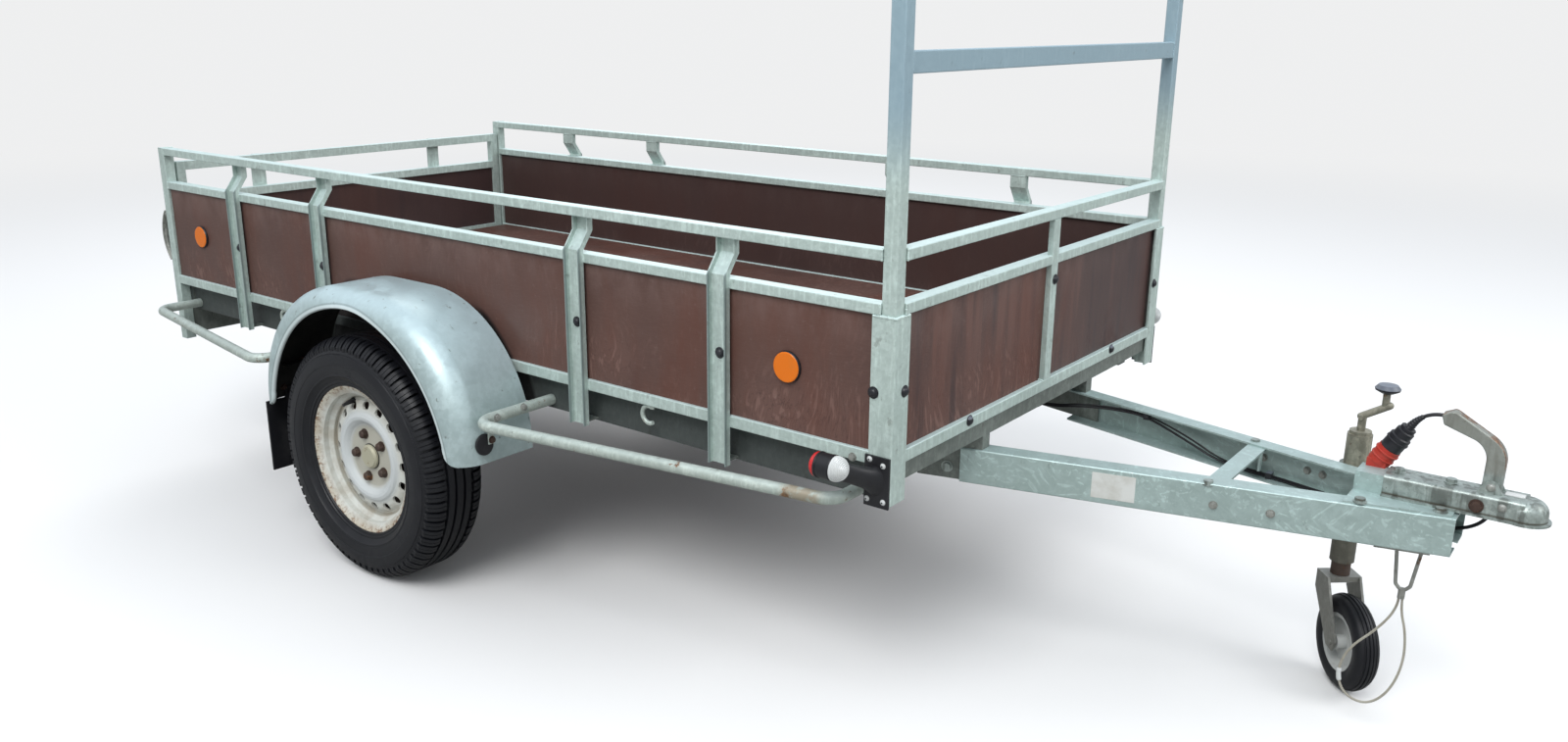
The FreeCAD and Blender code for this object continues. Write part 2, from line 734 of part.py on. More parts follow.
# Marker lamps on rubber arms at the front corners
marker_plate = box(marker_plate_x, (-body_half_width - 5.0, -body_half_width - soft_gap), marker_plate_z)
marker_middle_x = (marker_body_x[0] + marker_body_x[1]) / 2.0
plate_middle_x = (marker_plate_x[0] + marker_plate_x[1]) / 2.0 - 4.0
arm_root = V(plate_middle_x, -body_half_width - 3.0, marker_z - 50.0)
arm_tip = V(marker_middle_x - 4.0, -marker_y + 6.0, marker_z - 4.0)
arm_sections = []
for row in marker_arm_table:
    middle = arm_root + (arm_tip - arm_root) * row["share"]
    oval = Part.Ellipse(middle, 0.5 * row["tall"], 0.5 * row["thick"]).toShape()
    oval.rotate(middle, V(0, 1, 0), 90.0)
    oval.rotate(middle, V(0, 0, 1), 90.0)
    arm_sections.append(Part.Wire([oval]))
marker_arm = Part.makeLoft(arm_sections, True, False)
marker_body = rod((marker_body_x[0], -marker_y, marker_z), (marker_body_x[1], -marker_y, marker_z), marker_radius - 0.5)
parts["marker_arms"] = group(both_sides([fuse([marker_plate, marker_arm, marker_body])]))
red_tip_x = marker_body_x[0] - marker_red_lens
marker_red = rod((red_tip_x, -marker_y, marker_z), (marker_body_x[0], -marker_y, marker_z), marker_radius)
marker_red = marker_red.makeFillet(9.0, [edge for edge in marker_red.Edges if edge.BoundBox.XMax < red_tip_x + 0.5])
parts["marker_red"] = group(both_sides([marker_red]))
white_tip_x = marker_body_x[1] + marker_lens
marker_white = rod((marker_body_x[1], -marker_y, marker_z), (white_tip_x, -marker_y, marker_z), marker_radius)
marker_white = marker_white.makeFillet(17.0, [edge for edge in marker_white.Edges if edge.BoundBox.XMin > white_tip_x - 0.5])
parts["marker_white"] = group(both_sides([marker_white]))

# Torsion axle: square beam, trailing arms and stub axles
axle_beam = box((beam_x - beam_side / 2.0, beam_x + beam_side / 2.0), (-beam_half_length, beam_half_length), (chassis_z[0] - beam_side, chassis_z[0]))
beam_end = rod((beam_x, -beam_half_length, pivot_z), (beam_x, -arm_y[1], pivot_z), 24.0)
arm_along = V(axle_x - beam_x, 0, tyre_radius - pivot_z).normalize()
arm_across = V(arm_along.z, 0, -arm_along.x)
half_arm = arm_width / 2.0
arm_points = []
for middle, side in (((beam_x, pivot_z), 1), ((axle_x, tyre_radius), 1), ((axle_x, tyre_radius), -1), ((beam_x, pivot_z), -1)):
    arm_points.append((middle[0] + side * half_arm * arm_across.x, middle[1] + side * half_arm * arm_across.z))
arm_plate = slab_xz(arm_points, (-arm_y[1], -arm_y[0]))
arm_boss = rod((axle_x, -arm_y[1], tyre_radius), (axle_x, -arm_y[0], tyre_radius), half_arm)
arm_root = rod((beam_x, -arm_y[1], pivot_z), (beam_x, -arm_y[0], pivot_z), half_arm)
stub = rod((axle_x, -arm_y[0], tyre_radius), (axle_x, -wheel_y - stub_tip, tyre_radius), stub_radius)
axle_side = fuse([beam_end, arm_plate, arm_boss, arm_root, stub])
parts["axle"] = fuse([axle_beam] + both_sides([axle_side]))

# Wheel hub: bearing housing, flange and grease cap
hub_outline = [
    (stub_radius + pin_clearance, -66.0),
    (hub_radius - 10.0, -66.0),
    (hub_radius, -56.0),
    (hub_radius, nut_face - 20.0),
    (74.0, nut_face - 20.0),
    (74.0, nut_face - 6.0),
    (bore_radius - 0.5, nut_face - 6.0),
    (bore_radius - 0.5, nut_face + 6.0),
    (25.0, nut_face + 11.0),
    (0.0, nut_face + 11.0),
    (0.0, stub_tip + 4.0),
    (stub_radius + pin_clearance, stub_tip + 4.0),
]
parts["hub_right"] = turned(hub_outline, (axle_x, -wheel_y, tyre_radius), (0, -1, 0))
parts["hub_left"] = mirrored(parts["hub_right"])

# Steel rim with a ring of oval holes
rim_outline = [
    (rim_flange_radius, rim_half_width),
    (rim_flange_radius - 4.0, rim_half_width),
    (rim_seat_radius - 4.0, rim_half_width - 12.0),
    (rim_seat_radius - 5.0, 38.0),
    (149.0, 29.0),
    (148.0, 22.0),
    (141.0, 23.0),
    (134.0, 28.5),
    (127.0, 32.0),
    (119.0, 33.5),
    (112.0, 36.0),
    (107.0, 40.0),
    (100.0, 42.0),
    (93.0, 40.5),
    (87.0, 36.0),
    (81.0, nut_face + 3.0),
    (75.0, nut_face + 0.6),
    (69.0, nut_face),
    (bore_radius, nut_face),
    (bore_radius, nut_face - 5.5),
    (76.0, nut_face - 5.5),
    (84.0, nut_face - 1.5),
    (91.0, 33.5),
    (96.0, 36.0),
    (100.0, 36.5),
    (104.0, 35.0),
    (111.0, 30.0),
    (120.0, 27.5),
    (128.0, 25.5),
    (136.0, 19.5),
    (148.0, 14.0),
    (148.0, -20.0),
    (rim_seat_radius - 5.0, -32.0),
    (rim_seat_radius - 4.0, -rim_half_width + 12.0),
    (rim_flange_radius - 4.0, -rim_half_width),
    (rim_flange_radius, -rim_half_width),
    (rim_flange_radius, -rim_half_width + 4.0),
    (rim_seat_radius, -rim_half_width + 14.0),
    (rim_seat_radius - 1.0, -30.0),
    (152.0, -18.0),
    (152.0, 20.0),
    (rim_seat_radius - 1.0, 32.0),
    (rim_seat_radius, rim_half_width - 14.0),
    (rim_flange_radius, rim_half_width - 4.0),
]
rim_hole_count = 16
rim_hole_radius = 9.5
rim_hole_ring = 127.5
rim_hole_reach = 2.5


def rim():
    solid = turned(rim_outline, (0, 0, 0), (0, 0, 1))
    for number in range(rim_hole_count):
        slot = fuse([
            Part.makeCylinder(rim_hole_radius, 26.0, V(rim_hole_ring, -rim_hole_reach, 12.0)),
            Part.makeCylinder(rim_hole_radius, 26.0, V(rim_hole_ring, rim_hole_reach, 12.0)),
            Part.makeBox(2 * rim_hole_radius, 2 * rim_hole_reach, 26.0, V(rim_hole_ring - rim_hole_radius, -rim_hole_reach, 12.0)),
        ])
        slot.rotate(V(0, 0, 0), V(0, 0, 1), 360.0 * number / rim_hole_count)
        solid = solid.cut(slot)
    solid.Placement = FreeCAD.Placement(V(axle_x, -wheel_y, tyre_radius), FreeCAD.Rotation(V(0, 0, 1), V(0, -1, 0)))
    return solid


parts["rim_right"] = rim()
parts["rim_left"] = mirrored(parts["rim_right"])

# Tyre outline: tread, shoulders, sidewalls and beads, hollow inside
half_tyre = tyre_width / 2.0
tyre_outline = [
    (tyre_radius, -46.0),
    (tyre_radius, 46.0),
    (tyre_radius - 3.0, 57.0),
    (tyre_radius - 9.0, 67.0),
    (tyre_radius - 20.0, 75.0),
    (tyre_radius - 40.0, 80.5),
    (tyre_radius - 62.0, half_tyre),
    (tyre_radius - 84.0, 79.0),
    (tyre_radius - 104.0, 69.0),
    (rim_flange_radius + 2.0, rim_half_width - 1.0),
    (rim_flange_radius + 1.0, rim_half_width - 5.0),
    (rim_seat_radius + 0.5, rim_half_width - 15.0),
    (rim_seat_radius + 0.5, rim_half_width - 28.0),
    (rim_seat_radius + 22.0, rim_half_width - 16.0),
    (tyre_radius - 80.0, 66.0),
    (tyre_radius - 60.0, 69.0),
    (tyre_radius - 30.0, 64.0),
    (tyre_radius - 14.0, 50.0),
]
tyre_closed = tyre_outline + [(radius, -along) for radius, along in reversed(tyre_outline[2:])]
parts["tyre_right"] = turned(tyre_closed, (axle_x, -wheel_y, tyre_radius), (0, -1, 0))
parts["tyre_left"] = mirrored(parts["tyre_right"])


# Drawbar: two folded beams that open inward
def beam_outer_y(x):
    """Half the drawbar's width over the beams' outer faces at x."""
    share = (x - body_length) / (drawbar_front_x - body_length)
    return drawbar_root_y + share * (drawbar_tip_y - drawbar_root_y)


def beam_strip(x, depth, z):
    """Strip of the right beam from its outer face inward to a depth."""
    return slab_xy([
        (x[0], -beam_outer_y(x[0]) + depth[0]),
        (x[1], -beam_outer_y(x[1]) + depth[0]),
        (x[1], -beam_outer_y(x[1]) + depth[1]),
        (x[0], -beam_outer_y(x[0]) + depth[1]),
    ], z)


beam_length = (drawbar_rear_x, drawbar_front_x)
beam = fuse([
    beam_strip(beam_length, (0.0, drawbar_wall), drawbar_z),
    beam_strip(beam_length, (0.0, drawbar_flange), (drawbar_z[0], drawbar_z[0] + drawbar_wall)),
    beam_strip(beam_length, (0.0, drawbar_flange), (drawbar_z[1] - drawbar_wall, drawbar_z[1])),
])
folded = []
for edge in beam.Edges:
    middle = edge.BoundBox.Center
    at_fold = min(abs(middle.z - drawbar_z[0]), abs(middle.z - drawbar_z[1])) < 0.1
    if edge.Length > 500.0 and at_fold and abs(middle.y + beam_outer_y(middle.x)) < 0.5:
        folded.append(edge)
beam = beam.makeFillet(fold_radius, folded)
parts["drawbar_beams"] = group(both_sides([beam]))

# Mount: folded cross channel with plates down into the beams, and spacers
mount_x = (body_length - 140.0, body_length - 100.0)
bracket_x = (mount_x[0], body_length + 20.0)
mount_z = (chassis_z[0] + chassis_wall, chassis_z[1] - chassis_wall)
bracket_z = (drawbar_z[0] + drawbar_wall, drawbar_z[1] - drawbar_wall)
bracket_depth = (drawbar_wall, drawbar_wall + 8.0)
bracket_plate = beam_strip(bracket_x, bracket_depth, bracket_z)
hanging_plate = beam_strip(mount_x, bracket_depth, (bracket_z[0], mount_z[1]))
mount_web = box((mount_x[0], mount_x[0] + chassis_wall), (-web_y, web_y), mount_z)
mount_low = box(mount_x, (-web_y, web_y), (mount_z[0], mount_z[0] + chassis_wall))
mount_high = box(mount_x, (-web_y, web_y), (mount_z[1] - chassis_wall, mount_z[1]))
parts["drawbar_mount"] = fuse(both_sides([bracket_plate, hanging_plate]) + [mount_web, mount_low, mount_high])
spacer = beam_strip((drawbar_rear_x, front_face_x), (drawbar_wall, drawbar_wall + 30.0), (drawbar_z[1], front_member_z[0]))
parts["drawbar_spacers"] = group(both_sides([spacer]))

# Blank plate on the right beam
parts["data_plate"] = beam_strip(data_plate_x, (-data_plate_sheet, 0.0), data_plate_z)

# Cross strap below the beams' upper flanges
strap_span = (strap_x - strap_width / 2.0, strap_x + strap_width / 2.0)
strap_z = (drawbar_z[1] - drawbar_wall - strap_thickness, drawbar_z[1] - drawbar_wall)
strap_plate = slab_xy([
    (strap_span[0], -beam_outer_y(strap_span[0]) + drawbar_wall),
    (strap_span[1], -beam_outer_y(strap_span[1]) + drawbar_wall),
    (strap_span[1], beam_outer_y(strap_span[1]) - drawbar_wall),
    (strap_span[0], beam_outer_y(strap_span[0]) - drawbar_wall),
], strap_z)
tab_y = beam_outer_y(strap_x) - drawbar_flange - 18.0
strap_tab = box((strap_span[1] - 4.0, strap_span[1]), (tab_y - 14.0, tab_y), (strap_z[0] - 36.0, strap_z[0]))
parts["cross_strap"] = fuse([strap_plate, strap_tab])

# Saddle: hat section across the beams' front, which carries the coupling
saddle_z = (drawbar_z[1], drawbar_z[1] + saddle_thickness)
hat_z = (saddle_z[0], saddle_z[0] + saddle_hat_height)
saddle_plate = slab_xy([
    (saddle_x[0], -beam_outer_y(saddle_x[0]) + drawbar_wall),
    (saddle_x[1], -beam_outer_y(saddle_x[1]) + drawbar_wall),
    (saddle_x[1], beam_outer_y(saddle_x[1]) - drawbar_wall),
    (saddle_x[0], beam_outer_y(saddle_x[0]) - drawbar_wall),
], saddle_z)
hat_outer = box(saddle_x, (-saddle_hat, saddle_hat), hat_z)
hat_inner_y = saddle_hat - saddle_thickness
hat_inner = box((saddle_x[0] - 1.0, saddle_x[1] + 1.0), (-hat_inner_y, hat_inner_y), (hat_z[0] - 1.0, hat_z[1] - saddle_thickness))
parts["coupling_saddle"] = fuse([saddle_plate, hat_outer]).cut(hat_inner)


# Coupling head: pressed channel with a rounded nose over the ball socket
def coupling_head():
    base_z = saddle_z[1]
    half = coupling_half_width
    inner_half = half - coupling_wall
    inner_top = coupling_top_z - coupling_wall
    socket_radius = ball_radius + socket_clearance
    body = box((coupling_rear_x, ball_x), (-half, half), (base_z, coupling_top_z))
    long_edges = [edge for edge in body.Edges if edge.BoundBox.ZMin > coupling_top_z - 0.5 and edge.BoundBox.XLength > 1.0]
    body = body.makeFillet(8.0, long_edges)
    lip = box((coupling_rear_x, ball_x), (-half - coupling_lip, half + coupling_lip), (base_z, base_z + coupling_lip_height))
    nose = Part.makeCylinder(nose_radius, coupling_top_z - base_z, V(ball_x, 0, base_z))
    nose = nose.makeFillet(24.0, [edge for edge in nose.Edges if edge.BoundBox.ZMin > coupling_top_z - 0.5])
    nose_lip = Part.makeCylinder(nose_radius + coupling_lip, coupling_lip_height, V(ball_x, 0, base_z))
    ears = []
    pin_x = ball_x + (handle_table[0]["ahead"] + handle_table[1]["ahead"]) / 2.0
    for low_y in (handle_half_width + seat_gap, -handle_half_width - seat_gap - ear_thickness):
        crown = rod((pin_x, low_y, coupling_top_z + ear_up), (pin_x, low_y + ear_thickness, coupling_top_z + ear_up), ear_radius)
        foot = slab_xz([
            (pin_x - ear_radius - 9.0, coupling_top_z - 1.0),
            (pin_x + ear_radius + 9.0, coupling_top_z - 1.0),
            (pin_x + ear_radius - 2.0, coupling_top_z + ear_up + 6.0),
            (pin_x - ear_radius + 2.0, coupling_top_z + ear_up + 6.0),
        ], (low_y, low_y + ear_thickness))
        ears.append(crown.fuse(foot))
    socket = Part.makeSphere(socket_radius, V(ball_x, 0, ball_z))
    throat = Part.makeCylinder(socket_radius, ball_z - base_z + 1.0, V(ball_x, 0, base_z - 1.0))
    hollow = box((coupling_rear_x - 1.0, ball_x - nose_block), (-inner_half, inner_half), (base_z - 1.0, inner_top))
    return fuse([body, nose, lip, nose_lip] + ears).cut(hollow).cut(socket).cut(throat)


parts["coupling_head"] = coupling_head()

# Raised handle of the coupling
handle_points = [(ball_x + row["ahead"], coupling_top_z + seat_gap + row["up"]) for row in handle_table]
handle = slab_xz(handle_points, (-handle_half_width, handle_half_width))
for row, point in zip(handle_table, handle_points):
    if row["round"] > 0.0:
        handle = round_corner(handle, point, row["round"])
handle_rims = [edge for edge in handle.Edges if edge.BoundBox.YLength < 0.1 and edge.BoundBox.ZMax > coupling_top_z + 1.0]
parts["coupling_handle"] = handle.makeFillet(handle_edge, handle_rims)

# Jockey wheel: clamp on the left beam, outer tube, crank, stem, fork and wheel
jockey_y = beam_outer_y(jockey_x) + jockey_beam_gap
tube_axis = V(jockey_x, jockey_y, 0)


def upright_cylinder(radius, z):
    """Cylinder on the jockey tube's axis between two heights."""
    return Part.makeCylinder(radius, z[1] - z[0], tube_axis + V(0, 0, z[0]))


clamp_ends = (jockey_x - clamp_half_length, jockey_x + clamp_half_length)
clamp_plate = slab_xy([
    (clamp_ends[0], beam_outer_y(clamp_ends[0])),
    (clamp_ends[1], beam_outer_y(clamp_ends[1])),
    (clamp_ends[1], beam_outer_y(clamp_ends[1]) + 6.0),
    (clamp_ends[0], beam_outer_y(clamp_ends[0]) + 6.0),
], clamp_z)
clamp_block = slab_xy([
    (jockey_x - 26.0, beam_outer_y(jockey_x - 26.0) + 2.0),
    (jockey_x + 26.0, beam_outer_y(jockey_x + 26.0) + 2.0),
    (jockey_x + 26.0, jockey_y),
    (jockey_x - 26.0, jockey_y),
], clamp_z)
ear_y = (jockey_y + jockey_tube_radius + 2.0, jockey_y + jockey_tube_radius + 30.0)
clamp_ear = box((jockey_x - 9.0, jockey_x + 9.0), ear_y, clamp_z)
screw_z = (clamp_z[0] + clamp_z[1]) / 2.0
screw_y = jockey_y + jockey_tube_radius + 20.0
clamp_screw = rod((clamp_ends[0], screw_y, screw_z), (clamp_ends[1], screw_y, screw_z), 5.0)
clamp_ring = upright_cylinder(jockey_tube_radius + clamp_wall, clamp_z)
clamp_bore = upright_cylinder(jockey_tube_radius + pin_clearance, (clamp_z[0] - 1.0, clamp_z[1] + 1.0))
parts["jockey_clamp"] = fuse([clamp_ring, clamp_plate, clamp_block, clamp_ear, clamp_screw]).cut(clamp_bore)

outer_tube = upright_cylinder(jockey_tube_radius, jockey_tube_z)
stem_hole = upright_cylinder(jockey_stem_radius + pin_clearance, (jockey_tube_z[0] - 1.0, jockey_stem_top_z + 12.0))
parts["jockey_tube"] = outer_tube.cut(stem_hole)

crank_top_z = jockey_tube_z[1] + 36.0
crank_collar = upright_cylinder(jockey_tube_radius - 3.0, (jockey_tube_z[1], jockey_tube_z[1] + 7.0))
crank_stem = upright_cylinder(8.0, (jockey_tube_z[1], crank_top_z))
arm_start = V(jockey_x - 3.0, jockey_y, crank_top_z)
arm_end = V(jockey_x + knob_ahead + 4.0, jockey_y, crank_top_z + 31.0)
crank_arm = rod(tuple(arm_start), tuple(arm_end), crank_arm_radius)
arm_ends = [Part.makeSphere(crank_arm_radius, arm_start), Part.makeSphere(crank_arm_radius, arm_end)]
crank_pivot = rod((jockey_x - 1.0, jockey_y - 14.0, crank_top_z), (jockey_x - 1.0, jockey_y + 14.0, crank_top_z), 5.0)
knob_z = crank_top_z + 56.0
crank_post = rod((jockey_x + knob_ahead - 4.0, jockey_y, crank_top_z + 28.0), (jockey_x + knob_ahead - 4.0, jockey_y, knob_z), 7.0)
parts["jockey_crank"] = fuse([crank_collar, crank_stem, crank_arm, crank_pivot, crank_post] + arm_ends)
knob_outline = [
    (0.0, 0.0),
    (0.5 * knob_radius, 0.0),
    (0.95 * knob_radius, 6.0),
    (knob_radius, 10.0),
    (0.75 * knob_radius, 17.0),
    (0.0, 19.0),
]
parts["jockey_knob"] = turned(knob_outline, (jockey_x + knob_ahead - 4.0, jockey_y, knob_z), (0, 0, 1))

stem_low_z = crown_z[1] + seat_gap
stem = upright_cylinder(jockey_stem_radius, (stem_low_z, jockey_stem_top_z))
swivel_hole = upright_cylinder(swivel_radius + pin_clearance, (stem_low_z - 1.0, stem_low_z + swivel_length))
parts["jockey_stem"] = stem.cut(swivel_hole)

turn = math.radians(jockey_turn)
along = V(math.cos(turn), math.sin(turn), 0)
across = V(-math.sin(turn), math.cos(turn), 0)
jockey_hub = tube_axis + along * jockey_offset + V(0, 0, jockey_wheel_radius)


def castor_plate(points, low, high):
    """Plate of the castor fork: polygon of (along, z) between two offsets across."""
    corners = []
    for out, z in points:
        corners.append(tube_axis + along * out + across * low + V(0, 0, z))
    face = Part.Face(Part.makePolygon(corners + corners[:1]))
    return face.extrude(across * (high - low))


half_wheel = jockey_wheel_width / 2.0
plate_near = half_wheel + fork_gap
side_points = [
    (-24.0, crown_z[1]),
    (-24.0, crown_z[0] - 26.0),
    (jockey_offset - 16.0, jockey_wheel_radius - 12.0),
    (jockey_offset + 8.0, jockey_wheel_radius - 16.0),
    (jockey_offset + 16.0, jockey_wheel_radius + 6.0),
    (22.0, crown_z[1]),
]
crown = castor_plate([(-24.0, crown_z[0]), (22.0, crown_z[0]), (22.0, crown_z[1]), (-24.0, crown_z[1])], -plate_near, plate_near)
fork_axle = Part.makeCylinder(jockey_axle_radius, 2 * (plate_near + fork_plate) + 6.0, jockey_hub - across * (plate_near + fork_plate + 3.0), across)
swivel_pin = upright_cylinder(swivel_radius, (crown_z[0], crown_z[1] + swivel_length))
parts["jockey_fork"] = fuse([
    crown,
    swivel_pin,
    castor_plate(side_points, -plate_near - fork_plate, -plate_near),
    castor_plate(side_points, plate_near, plate_near + fork_plate),
    fork_axle,
])
jockey_rim_outline = [
    (jockey_axle_radius + pin_clearance, -half_wheel - 2.0),
    (15.0, -half_wheel - 2.0),
    (15.0, -6.0),
    (48.0, -3.0),
    (52.0, -19.0),
    (60.0, -21.0),
    (60.0, 21.0),
    (52.0, 19.0),
    (48.0, 3.0),
    (15.0, 6.0),
    (15.0, half_wheel + 2.0),
    (jockey_axle_radius + pin_clearance, half_wheel + 2.0),
]
jockey_tyre_outline = [
    (60.5, -20.0),
    (76.0, -half_wheel),
    (90.0, -21.0),
    (98.0, -13.0),
    (jockey_wheel_radius, 0.0),
    (98.0, 13.0),
    (90.0, 21.0),
    (76.0, half_wheel),
    (60.5, 20.0),
]
hub_place = (jockey_hub.x, jockey_hub.y, jockey_hub.z)
across_place = (across.x, across.y, across.z)
parts["jockey_rim"] = turned(jockey_rim_outline, hub_place, across_place)
parts["jockey_tyre"] = turned(jockey_tyre_outline, hub_place, across_place)

# Plug in its parking holder beside the saddle's hat
plug_along = V(0.5, 0, 0.866).normalize()
holder_length = 34.0
holder_radius = 21.0
plug_length = 58.0
holder_foot = V(saddle_x[0] + 26.0, saddle_hat + 4.0, hat_z[1] + 8.0)
foot_x = (saddle_x[0] + 8.0, saddle_x[0] + 42.0)
holder_block = box(foot_x, (saddle_hat - 14.0, saddle_hat), (hat_z[1], hat_z[1] + 16.0))
holder_cup = Part.makeCylinder(holder_radius, holder_length, holder_foot, plug_along)
below_hat = box((foot_x[0] - 40.0, foot_x[1] + 40.0), (saddle_hat - 60.0, saddle_hat + 60.0), (saddle_z[0], hat_z[1]))
parts["plug_holder"] = fuse([holder_block, holder_cup]).cut(below_hat)
plug_foot = holder_foot + plug_along * holder_length
plug_outline = [
    (0.0, 0.0),
    (20.0, 0.0),
    (20.0, 30.0),
    (17.0, 32.0),
    (17.0, 44.0),
    (9.0, 50.0),
    (6.5, plug_length),
    (0.0, plug_length),
]
parts["plug"] = turned(plug_outline, tuple(plug_foot), tuple(plug_along))

# Hanger rod for the safety cable below the front of the drawbar
hanger_x = drawbar_front_x - 75.0
hanger_y = -8.0
hanger_low_z = drawbar_z[0] - 111.0
hanger_plate_z = (drawbar_z[0] - 4.0, drawbar_z[0])
hanger = tube_along([
    (hanger_x - 22.0, hanger_y, hanger_plate_z[0] + 1.0),
    (hanger_x - 13.0, hanger_y, hanger_low_z + 14.0),
    (hanger_x, hanger_y, hanger_low_z),
    (hanger_x + 13.0, hanger_y, hanger_low_z + 14.0),
    (hanger_x + 25.0, hanger_y, hanger_plate_z[0] + 1.0),
], 3.5, 9.0)
hanger_plate_x = (hanger_x - 47.0, hanger_x + 43.0)
hanger_plate = slab_xy([
    (hanger_plate_x[0], -beam_outer_y(hanger_plate_x[0]) + 6.0),
    (hanger_plate_x[1], -beam_outer_y(hanger_plate_x[1]) + 6.0),
    (hanger_plate_x[1], beam_outer_y(hanger_plate_x[1]) - 6.0),
    (hanger_plate_x[0], beam_outer_y(hanger_plate_x[0]) - 6.0),
], hanger_plate_z)
link_z = (hanger_low_z - 13.0, hanger_low_z + 7.0)
link = rod((hanger_x, hanger_y, link_z[0]), (hanger_x, hanger_y, link_z[1]), 6.5)
parts["cable_hanger"] = fuse([hanger, hanger_plate, link])

# Held cable along the left beam, on its lower flange towards the front
loom_floor_z = drawbar_z[0] + drawbar_wall + loom_radius + 0.5
loom_top_z = drawbar_z[1] - 10.5
junction_x = saddle_x[0] + 36.0


def loom_y(x, from_outer):
    """Place across the left beam, measured inward from its outer face."""
    return beam_outer_y(x) - from_outer


# Columns: place along X, distance from the beam's outer face, height over the ground
loom_rows = [
    (body_length - 60.0, 94.0, loom_top_z - 21.0),
    (body_length + 5.0, 80.0, loom_top_z - 6.0),
    (body_length + 85.0, 50.0, loom_top_z),
    (body_length + 160.0, 36.0, loom_top_z),
    (body_length + 272.0, 36.0, loom_top_z - 31.0),
    (body_length + 350.0, 33.0, loom_floor_z),
    (body_length + 450.0, 26.0, loom_floor_z),
    (body_length + 560.0, 27.0, loom_floor_z),
    (junction_x - 45.0, 36.0, loom_floor_z),
]
loom_points = [(x, loom_y(x, inward), z) for x, inward, z in loom_rows]
loom_points.insert(0, (mount_x[1], loom_points[0][1], loom_points[0][2]))
loom_points.append((junction_x, loom_points[-1][1], loom_points[-1][2]))
parts["cable_loom"] = tube_along(loom_points, loom_radius, 60.0, "cable loom")
loom_tool = tube_along(loom_points, loom_radius + pin_clearance, 60.0)


def clip(x, y, z):
    """Block of a cable clip that begins at x, about y, between two heights."""
    return box((x, x + clip_size), (y - 0.75 * clip_size, y + 0.75 * clip_size), z)


flange_inside_z = (drawbar_z[0] + drawbar_wall, drawbar_z[1] - drawbar_wall)
upper_clip_x = body_length + 155.0
lower_clip_x = body_length + 450.0
mount_clip = clip(mount_x[1] - clip_size, loom_points[0][1], (loom_points[0][2] - 8.0, mount_z[0]))
upper_clip = clip(upper_clip_x, loom_y(upper_clip_x, 36.0), (loom_top_z - 8.0, flange_inside_z[1])).cut(loom_tool)
lower_clip = clip(lower_clip_x, loom_y(lower_clip_x, 26.0), (flange_inside_z[0], loom_floor_z + 8.0)).cut(loom_tool)
junction_y = loom_points[-1][1]
junction = clip(junction_x, junction_y, (flange_inside_z[0], loom_floor_z + 9.0))
parts["cable_clips"] = group([mount_clip, upper_clip, lower_clip, junction])

# Free cables: points of their routes
plug_end = plug_foot + plug_along * plug_length
first_bend = plug_end + plug_along * 30.0
junction_end_x = junction_x + clip_size
plug_cable_points = [
    tuple(plug_end),
    tuple(first_bend),
    (ball_x - 143.0, plug_end.y + 2.0, coupling_top_z + 117.0),
    (ball_x - 92.0, plug_end.y + 7.0, coupling_top_z + 88.0),
    (ball_x - 62.0, plug_end.y + 11.0, coupling_top_z + 36.0),
    (ball_x - 52.0, plug_end.y + 14.0, coupling_top_z - 22.0),
    (ball_x - 60.0, plug_end.y + 15.0, coupling_top_z - 74.0),
    (ball_x - 98.0, plug_end.y + 18.0, coupling_top_z - 103.0),
    (ball_x - 150.0, plug_end.y + 24.0, coupling_top_z - 112.0),
    (junction_end_x + 38.0, junction_y, loom_floor_z + 1.0),
    (junction_end_x, junction_y, loom_floor_z + 1.0),
]
parts["plug_cable"] = tube_along(plug_cable_points, plug_cable_radius, None, "plug cable")

# The safety cable hangs as a loop; both ends come out of the link
# Columns: forward of the hanger, left of the hanger, height over the ground
safety_rows = [
    (-3.2, 0.0, link_z[0]),
    (-3.2, 0.0, link_z[0] - 24.0),
    (-28.0, -22.0, link_z[0] - 66.0),
    (-70.0, -38.0, link_z[0] - 112.0),
    (-84.0, -44.0, link_z[0] - 166.0),
    (-66.0, -44.0, link_z[0] - 210.0),
    (-24.0, -40.0, link_z[0] - 220.0),
    (10.0, -34.0, link_z[0] - 184.0),
    (26.0, -24.0, link_z[0] - 122.0),
    (20.0, -12.0, link_z[0] - 64.0),
    (3.2, 0.0, link_z[0] - 24.0),
    (3.2, 0.0, link_z[0]),
]
safety_points = [(hanger_x + ahead, hanger_y + left, z) for ahead, left, z in safety_rows]
parts["safety_cable"] = tube_along(safety_points, safety_cable_radius, None, "safety cable")

# Move the middle of the trailer's length to x = 0 and write the files
rear_most_x = -52.9
nose_tip_x = ball_x + nose_radius + coupling_lip
origin_x = (rear_most_x + nose_tip_x) / 2.0

os.makedirs("parts", exist_ok=True)
whole = None
for name, shape in parts.items():
    shape.translate(V(-origin_x, 0, 0))
    if not shape.isValid():
        print("not valid:", name)
    shape.exportStep("parts/" + name + ".step")
    bounds = shape.BoundBox
    print(name, len(shape.Solids), [round(v, 1) for v in (bounds.XMin, bounds.XMax, bounds.YMin, bounds.YMax, bounds.ZMin, bounds.ZMax)], round(shape.Volume / 1000.0, 1))
    whole = bounds if whole is None else whole.united(bounds)
print("whole", [round(v, 1) for v in (whole.XMin, whole.XMax, whole.YMin, whole.YMax, whole.ZMin, whole.ZMax)])
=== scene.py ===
# %% [markdown]
# # A single-axle utility trailer, finished for rendering
# The solids of the trailer come ready made and stay where they are. This lesson gives
# them real finishes and adds what a modeller leaves to this step: tread, bolts, welds,
# ringed lenses and the free cables. Every length is in metres once it is in Blender.

